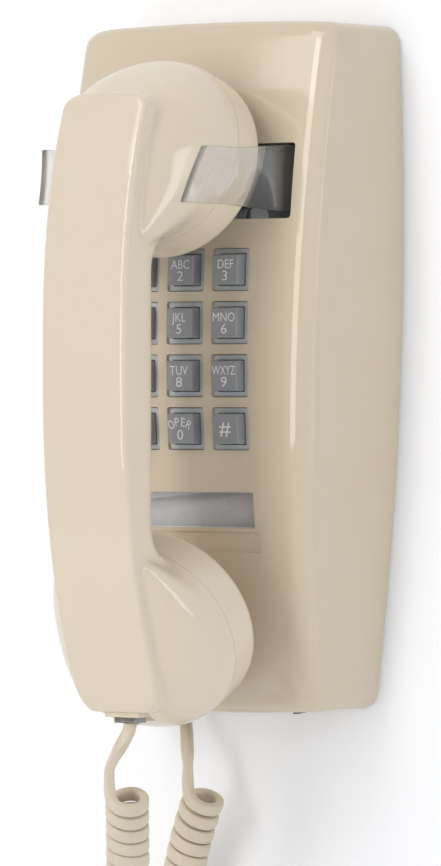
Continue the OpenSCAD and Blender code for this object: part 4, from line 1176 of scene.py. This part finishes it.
@dataclass
class Handset:
    """The handle with its two heads in one smooth skin, and the caps."""

    depth: float = 47.4
    cap_r: float = 32.0
    handle_w: float = 32.8
    handle_d: float = 61.0
    grip_d: float = 42.0
    back_top: float = 89.0
    back_low: float = -112.5
    back_mid: float = 3.0
    back_power: float = 2.5         # how late the back falls off towards its ends
    drop_top: float = 14.0
    drop_low: float = 22.0
    crook_r: float = 12.0
    crook_low: float = 8.5
    grip_top: float = 31.0
    grip_low: float = -50.0
    head_straight: float = 11.0
    head_end_half_h: float = 29.5
    head_power: float = 0.75        # how fast a head narrows, and how much squarer it gets
    head_square: float = 0.35
    tail: float = 33.0              # a head's length per section number in front of its seam
    foot_round: float = 13.0        # length of the handle's rounded ends, and how much they narrow
    foot_narrow: float = 0.35
    crown_round: float = 5.0
    crown_narrow: float = 0.5
    back_edge: float = 1.5          # radius of the handle's edges
    finger_edge: float = 5.0
    seam_margin: float = 1.5        # how far the seams' cutters reach past the cap, and their depth
    seam_cut: float = 7.0
    voxel: float = 0.85             # grid of the joined skin, and its rounds of smoothing
    soften: int = 6
    socket_at: Triple = (0.0, 33.0, -114.0)
    pocket: Triple = (13.3, 10.3, 12.15)
    pocket_low: float = -130.0
    ear: Head = Head(18, 70, 51, 58.5, 1, 15, 12)
    mouth: Head = Head(21, -88, 47, -82.5, -1, 24.5, 18)

    def back_d(self, z: Array) -> Array:
        """Distance of the back from the housing's front: less by a power of the height from its middle."""
        up = np.clip((z - self.back_mid) / (self.back_top - self.back_mid), 0, 1)
        down = np.clip((self.back_mid - z) / (self.back_mid - self.back_low), 0, 1)
        return self.handle_d - self.drop_top * up ** self.back_power - self.drop_low * down ** self.back_power

    def finger_d(self, z: Array) -> Array:
        """Distance of the finger side: flat, with a quarter ellipse towards each head."""
        up = np.clip((z - self.grip_top) / self.crook_r, 0, 1)
        down = np.clip((self.grip_low - z) / self.crook_r, 0, 1)
        return (self.grip_d - self.crook_r * (1 - np.sqrt(1 - up ** 2))
                - self.crook_low * (1 - np.sqrt(1 - down ** 2)))

    def handle_grid(self) -> Array:
        """Rings of the handle: a bar with small rounds at the back and larger ones at the fingers."""
        t = np.sin(np.linspace(0, np.pi / 2, 14))
        z = np.concatenate([
            self.back_low + self.foot_round * (1 - t[::-1]),
            np.linspace(-98, self.grip_low - self.crook_r, 30),
            self.grip_low - self.crook_r * t[-2::-1], np.linspace(-48, 29, 50),
            self.grip_top + self.crook_r * t, np.linspace(45, self.back_top - self.crown_round - 1, 34),
            self.back_top - self.crown_round + self.crown_round * t])[:, None]
        low = np.clip((self.back_low + self.foot_round - z) / self.foot_round, 0, 1)
        top = np.clip((z - self.back_top + self.crown_round) / self.crown_round, 0, 1)
        w = self.handle_w / 2 * (1 - self.foot_narrow * (1 - np.sqrt(1 - low ** 2))
                                 - self.crown_narrow * (1 - np.sqrt(1 - top ** 2)))
        near, far = self.finger_d(z), self.back_d(z)
        r = np.minimum(self.back_edge, (far - near) / 3)
        f = np.minimum(self.finger_edge, (far - near) / 3)
        a = np.linspace(0, np.pi / 2, 7)[None]
        x = np.hstack([w - r + r * np.cos(a), -w + r + r * np.cos(a + np.pi / 2),
                       -w + f + f * np.cos(a + np.pi), w - f + f * np.cos(a + 1.5 * np.pi)])
        d = np.hstack([far - r + r * np.sin(a), far - r + r * np.sin(a + np.pi / 2),
                       near + f + f * np.sin(a + np.pi), near + f + f * np.sin(a + 1.5 * np.pi)])
        return np.stack([x, -self.depth - d, z + 0 * x], -1)

    def section(self, head: Head, v: Array) -> tuple[Array, Array, Array, Array, Array]:
        """Sections of a head: ellipses that grow squarer and narrower from the seam to the handle.

        The middle follows a parabola that starts along the cap's axis; in front of the seam it is straight.

        Args:
            head: which head.
            v: a column of section numbers, 0 at the seam and 1 at the handle.

        Returns:
            Middle, half width, half height, tilt and power of each section.
        """
        c = np.clip(v, 0, 1)
        tilt = np.radians(head.seam_tilt + (head.end_tilt - head.seam_tilt) * c)
        end_w = self.handle_w / 2 - 0.5
        w = end_w + (self.cap_r - end_w) * np.maximum(np.cos(np.pi / 2 * c), 0) ** self.head_power
        h = self.cap_r + (self.head_end_half_h - self.cap_r) * c
        start, end = np.array([head.seam_d, head.seam_z]), np.array([head.end_d, head.end_z])
        lean = math.radians(head.seam_tilt)
        along = np.array([math.cos(lean), head.way * math.sin(lean)])
        turn = start + self.head_straight * along
        middle = np.where(v < 0, start + self.tail * v * along,
                          (1 - v) ** 2 * start + 2 * v * (1 - v) * turn + v ** 2 * end)
        return middle, w, h, tilt, 1 - self.head_square * smooth(v)

    def head_grid(self, head: Head, count: int = 120) -> Array:
        """Rings of a head, with this many points in each."""
        v = np.concatenate([[-0.08, -0.04], np.linspace(0, 1, 56)])[:, None]
        middle, w, h, tilt, power = self.section(head, v)
        a = 2 * np.pi * np.arange(count)[None] / count
        x, q = w * squared(np.cos(a), power), h * squared(np.sin(a), power)
        return np.stack([x, -self.depth - (middle[:, :1] - q * np.sin(tilt)),
                         middle[:, 1:] + head.way * q * np.cos(tilt)], -1)

    def seam_frame(self, head: Head) -> tuple[Array, Array, Array, Array]:
        """Middle of a seam, and the directions across, up along the seam and out towards the cap."""
        tilt = math.radians(head.seam_tilt)
        middle = np.array([0, -self.depth - head.seam_d, head.seam_z])
        across = np.array([1.0, 0, 0])
        up = np.array([0, math.sin(tilt), head.way * math.cos(tilt)])
        out = np.array([0, math.cos(tilt), -head.way * math.sin(tilt)])
        return middle, across, up, out

    def cutters(self, sides: int = 96) -> Thing:
        """Cutters for the two flat seams, with this many sides, and for the jack's pocket."""
        x, d, z = self.socket_at
        cuts = []
        a = 2 * np.pi * np.arange(sides)[:, None] / sides
        for head in (self.ear, self.mouth):
            middle, across, up, out = self.seam_frame(head)
            ring = (self.cap_r + self.seam_margin) * (np.cos(a) * across + np.sin(a) * up)
            cuts.append(np.stack([middle + ring, middle + ring + self.seam_cut * out]))
        cuts.append(bar((x, -self.depth - d), self.pocket[:2], self.pocket_low, z + self.pocket[2]))
        return make_object("handset_cutters", tubes("handset_cutters", cuts, False))

    def build(self, palette: Palette) -> None:
        """Join handle and heads into one skin, soften it and cut the seams and the pocket."""
        grids = [self.handle_grid(), self.head_grid(self.ear), self.head_grid(self.mouth)]
        skin = make_object("handset_skin", tubes("handset_skin", grids))
        set_up(skin.modifiers.new("one_skin", "REMESH"), mode="VOXEL", voxel_size=self.voxel * MM)
        set_up(skin.modifiers.new("soften", "SMOOTH"), factor=0.5, iterations=self.soften)
        cutters = self.cutters()
        cut_out(skin, cutters)
        applied(skin)
        bpy.data.objects.remove(cutters)
        sharpen(skin.data, 40)
        finish_piece(skin, palette.get(Finish.HANDSET), "handset", "beige_handset", "handset_shell")
        for node in ("receiver_cap", "transmitter_cap"):
            cap = merged_copy(node, f"{node}_skin")
            sharpen(cap.data, 28)
            finish_piece(cap, palette.get(Finish.HANDSET), "handset", "beige_handset", node)


# ---- Hook ----


@dataclass
class HookArms:
    """The two clear arms: flat where they leave the housing, then bent round the ear head."""

    handset: Handset
    inner_x: float = 36.6
    thick: float = 2.6
    low: float = 51.1
    height: float = 21.7
    root_y: float = -16.0
    start_d: float = -6.0
    bent_d: float = 24.0
    tip_d: float = 40.4             # middle of the slanted tip, and how much further its lower corner reaches
    slant: float = 7.3
    tip_low: float = 53.0
    tip_high: float = 71.5
    low_x: float = 26.2
    top_x: float = 32.2
    close: float = 0.2              # closing in of the upper edge per millimetre further out
    gap: float = 0.4

    def hug(self, v: Array, level: float) -> tuple[Array, Array]:
        """Distance and half width of the ear head's surface at section v and this height, with the gap."""
        middle, w, h, tilt, power = self.handset.section(self.handset.ear, v)
        s = np.clip((level - middle[:, 1:]) / (h * np.cos(tilt)), -0.999, 0.999)
        wide = w * (1 - np.abs(s) ** (2 / power)) ** (power / 2) + self.gap
        return (middle[:, :1] - h * s * np.sin(tilt)).ravel(), wide.ravel()

    def arm(self, side: int) -> Array:
        """Rings of an arm: an inner line that keeps clear of the head, and one a thickness further out."""
        v = np.linspace(-0.5, 0.8, 60)[:, None]
        root = -(self.root_y + self.handset.depth)
        middle = np.concatenate([np.linspace(root, self.start_d, 5)[:-1],
                                 np.linspace(self.start_d, self.tip_d, 44)])
        f = np.linspace(0, 1, 13)[None]
        d = middle[:, None] + self.slant * (0.5 - f) * smooth(
            (middle[:, None] - self.bent_d) / (self.tip_d - self.bent_d))
        b = smooth((d - self.start_d) / (self.bent_d - self.start_d))
        low_x = self.inner_x + (self.low_x - self.inner_x) * b
        low_z = self.low + (self.tip_low - self.low) * b
        high_x = self.inner_x + (self.top_x - self.inner_x) * b - self.close * np.maximum(0, d - self.bent_d)
        high_z = self.low + self.height + (self.tip_high - self.low - self.height) * b
        x, z = low_x + (high_x - low_x) * f, low_z + (high_z - low_z) * f

        def beside(place: float, level: float) -> float:
            """Half width of the head at this distance and height."""
            return float(np.interp(place, *self.hug(v, level)))

        x = np.maximum(x, np.vectorize(beside)(d, z))
        inner = np.stack([side * x, -self.handset.depth - d, z], -1)
        return np.concatenate([inner, (inner + [side * self.thick, 0, 0])[:, ::-1]], 1)

    def build(self, palette: Palette) -> None:
        """Make both arms."""
        for side, name in ((-1, "hook_arm_left"), (1, "hook_arm_right")):
            arm = make_object(f"{name}_clear", tubes(f"{name}_clear", [self.arm(side)]))
            crisp_piece(arm, 0.45, 3, 50, Finish.ARMS, palette, "hook", "clear_plastic", name)


# ---- Everything ----

NODE_FINISHES = {
    Finish.FOIL: ("number_card",),
    Finish.HANDSET: ("handset_jack",),
    Finish.JACKS: ("base_jack",),
    Finish.PLUG: ("cord_plug_handset", "cord_plug_base"),
    Finish.INNER_BLACK: ("hook_switch", "ringer_volume_wheel", "transmitter_capsule"),
    Finish.BOARD: ("network_board", "keypad_board"),
    Finish.STEEL: ("base_plate", "line_plug", "housing_screws", "keypad_spring_sheet", "keypad_bracket",
                   "hook_lever", "hook_pivot_pin", "hook_spring", "ringer_frame", "clapper",
                   "receiver_capsule"),
    Finish.BRASS: ("gong_left", "gong_right"),
    Finish.COPPER: ("ringer_coil",),
}


def main() -> None:
    """Build the studio, then the cord, then every dressed piece."""
    logging.basicConfig(level=logging.INFO, format="%(name)s: %(message)s")
    palette = Palette()
    Studio().build()
    CurlyCord().build(palette)
    housing = Housing()
    housing.build(palette)
    Keypad(housing).build(palette)
    handset = Handset()
    handset.build(palette)
    HookArms(handset).build(palette)
    for look, nodes in NODE_FINISHES.items():
        for node in nodes:
            palette.paint(node, look)


if __name__ == "__main__":
    main()
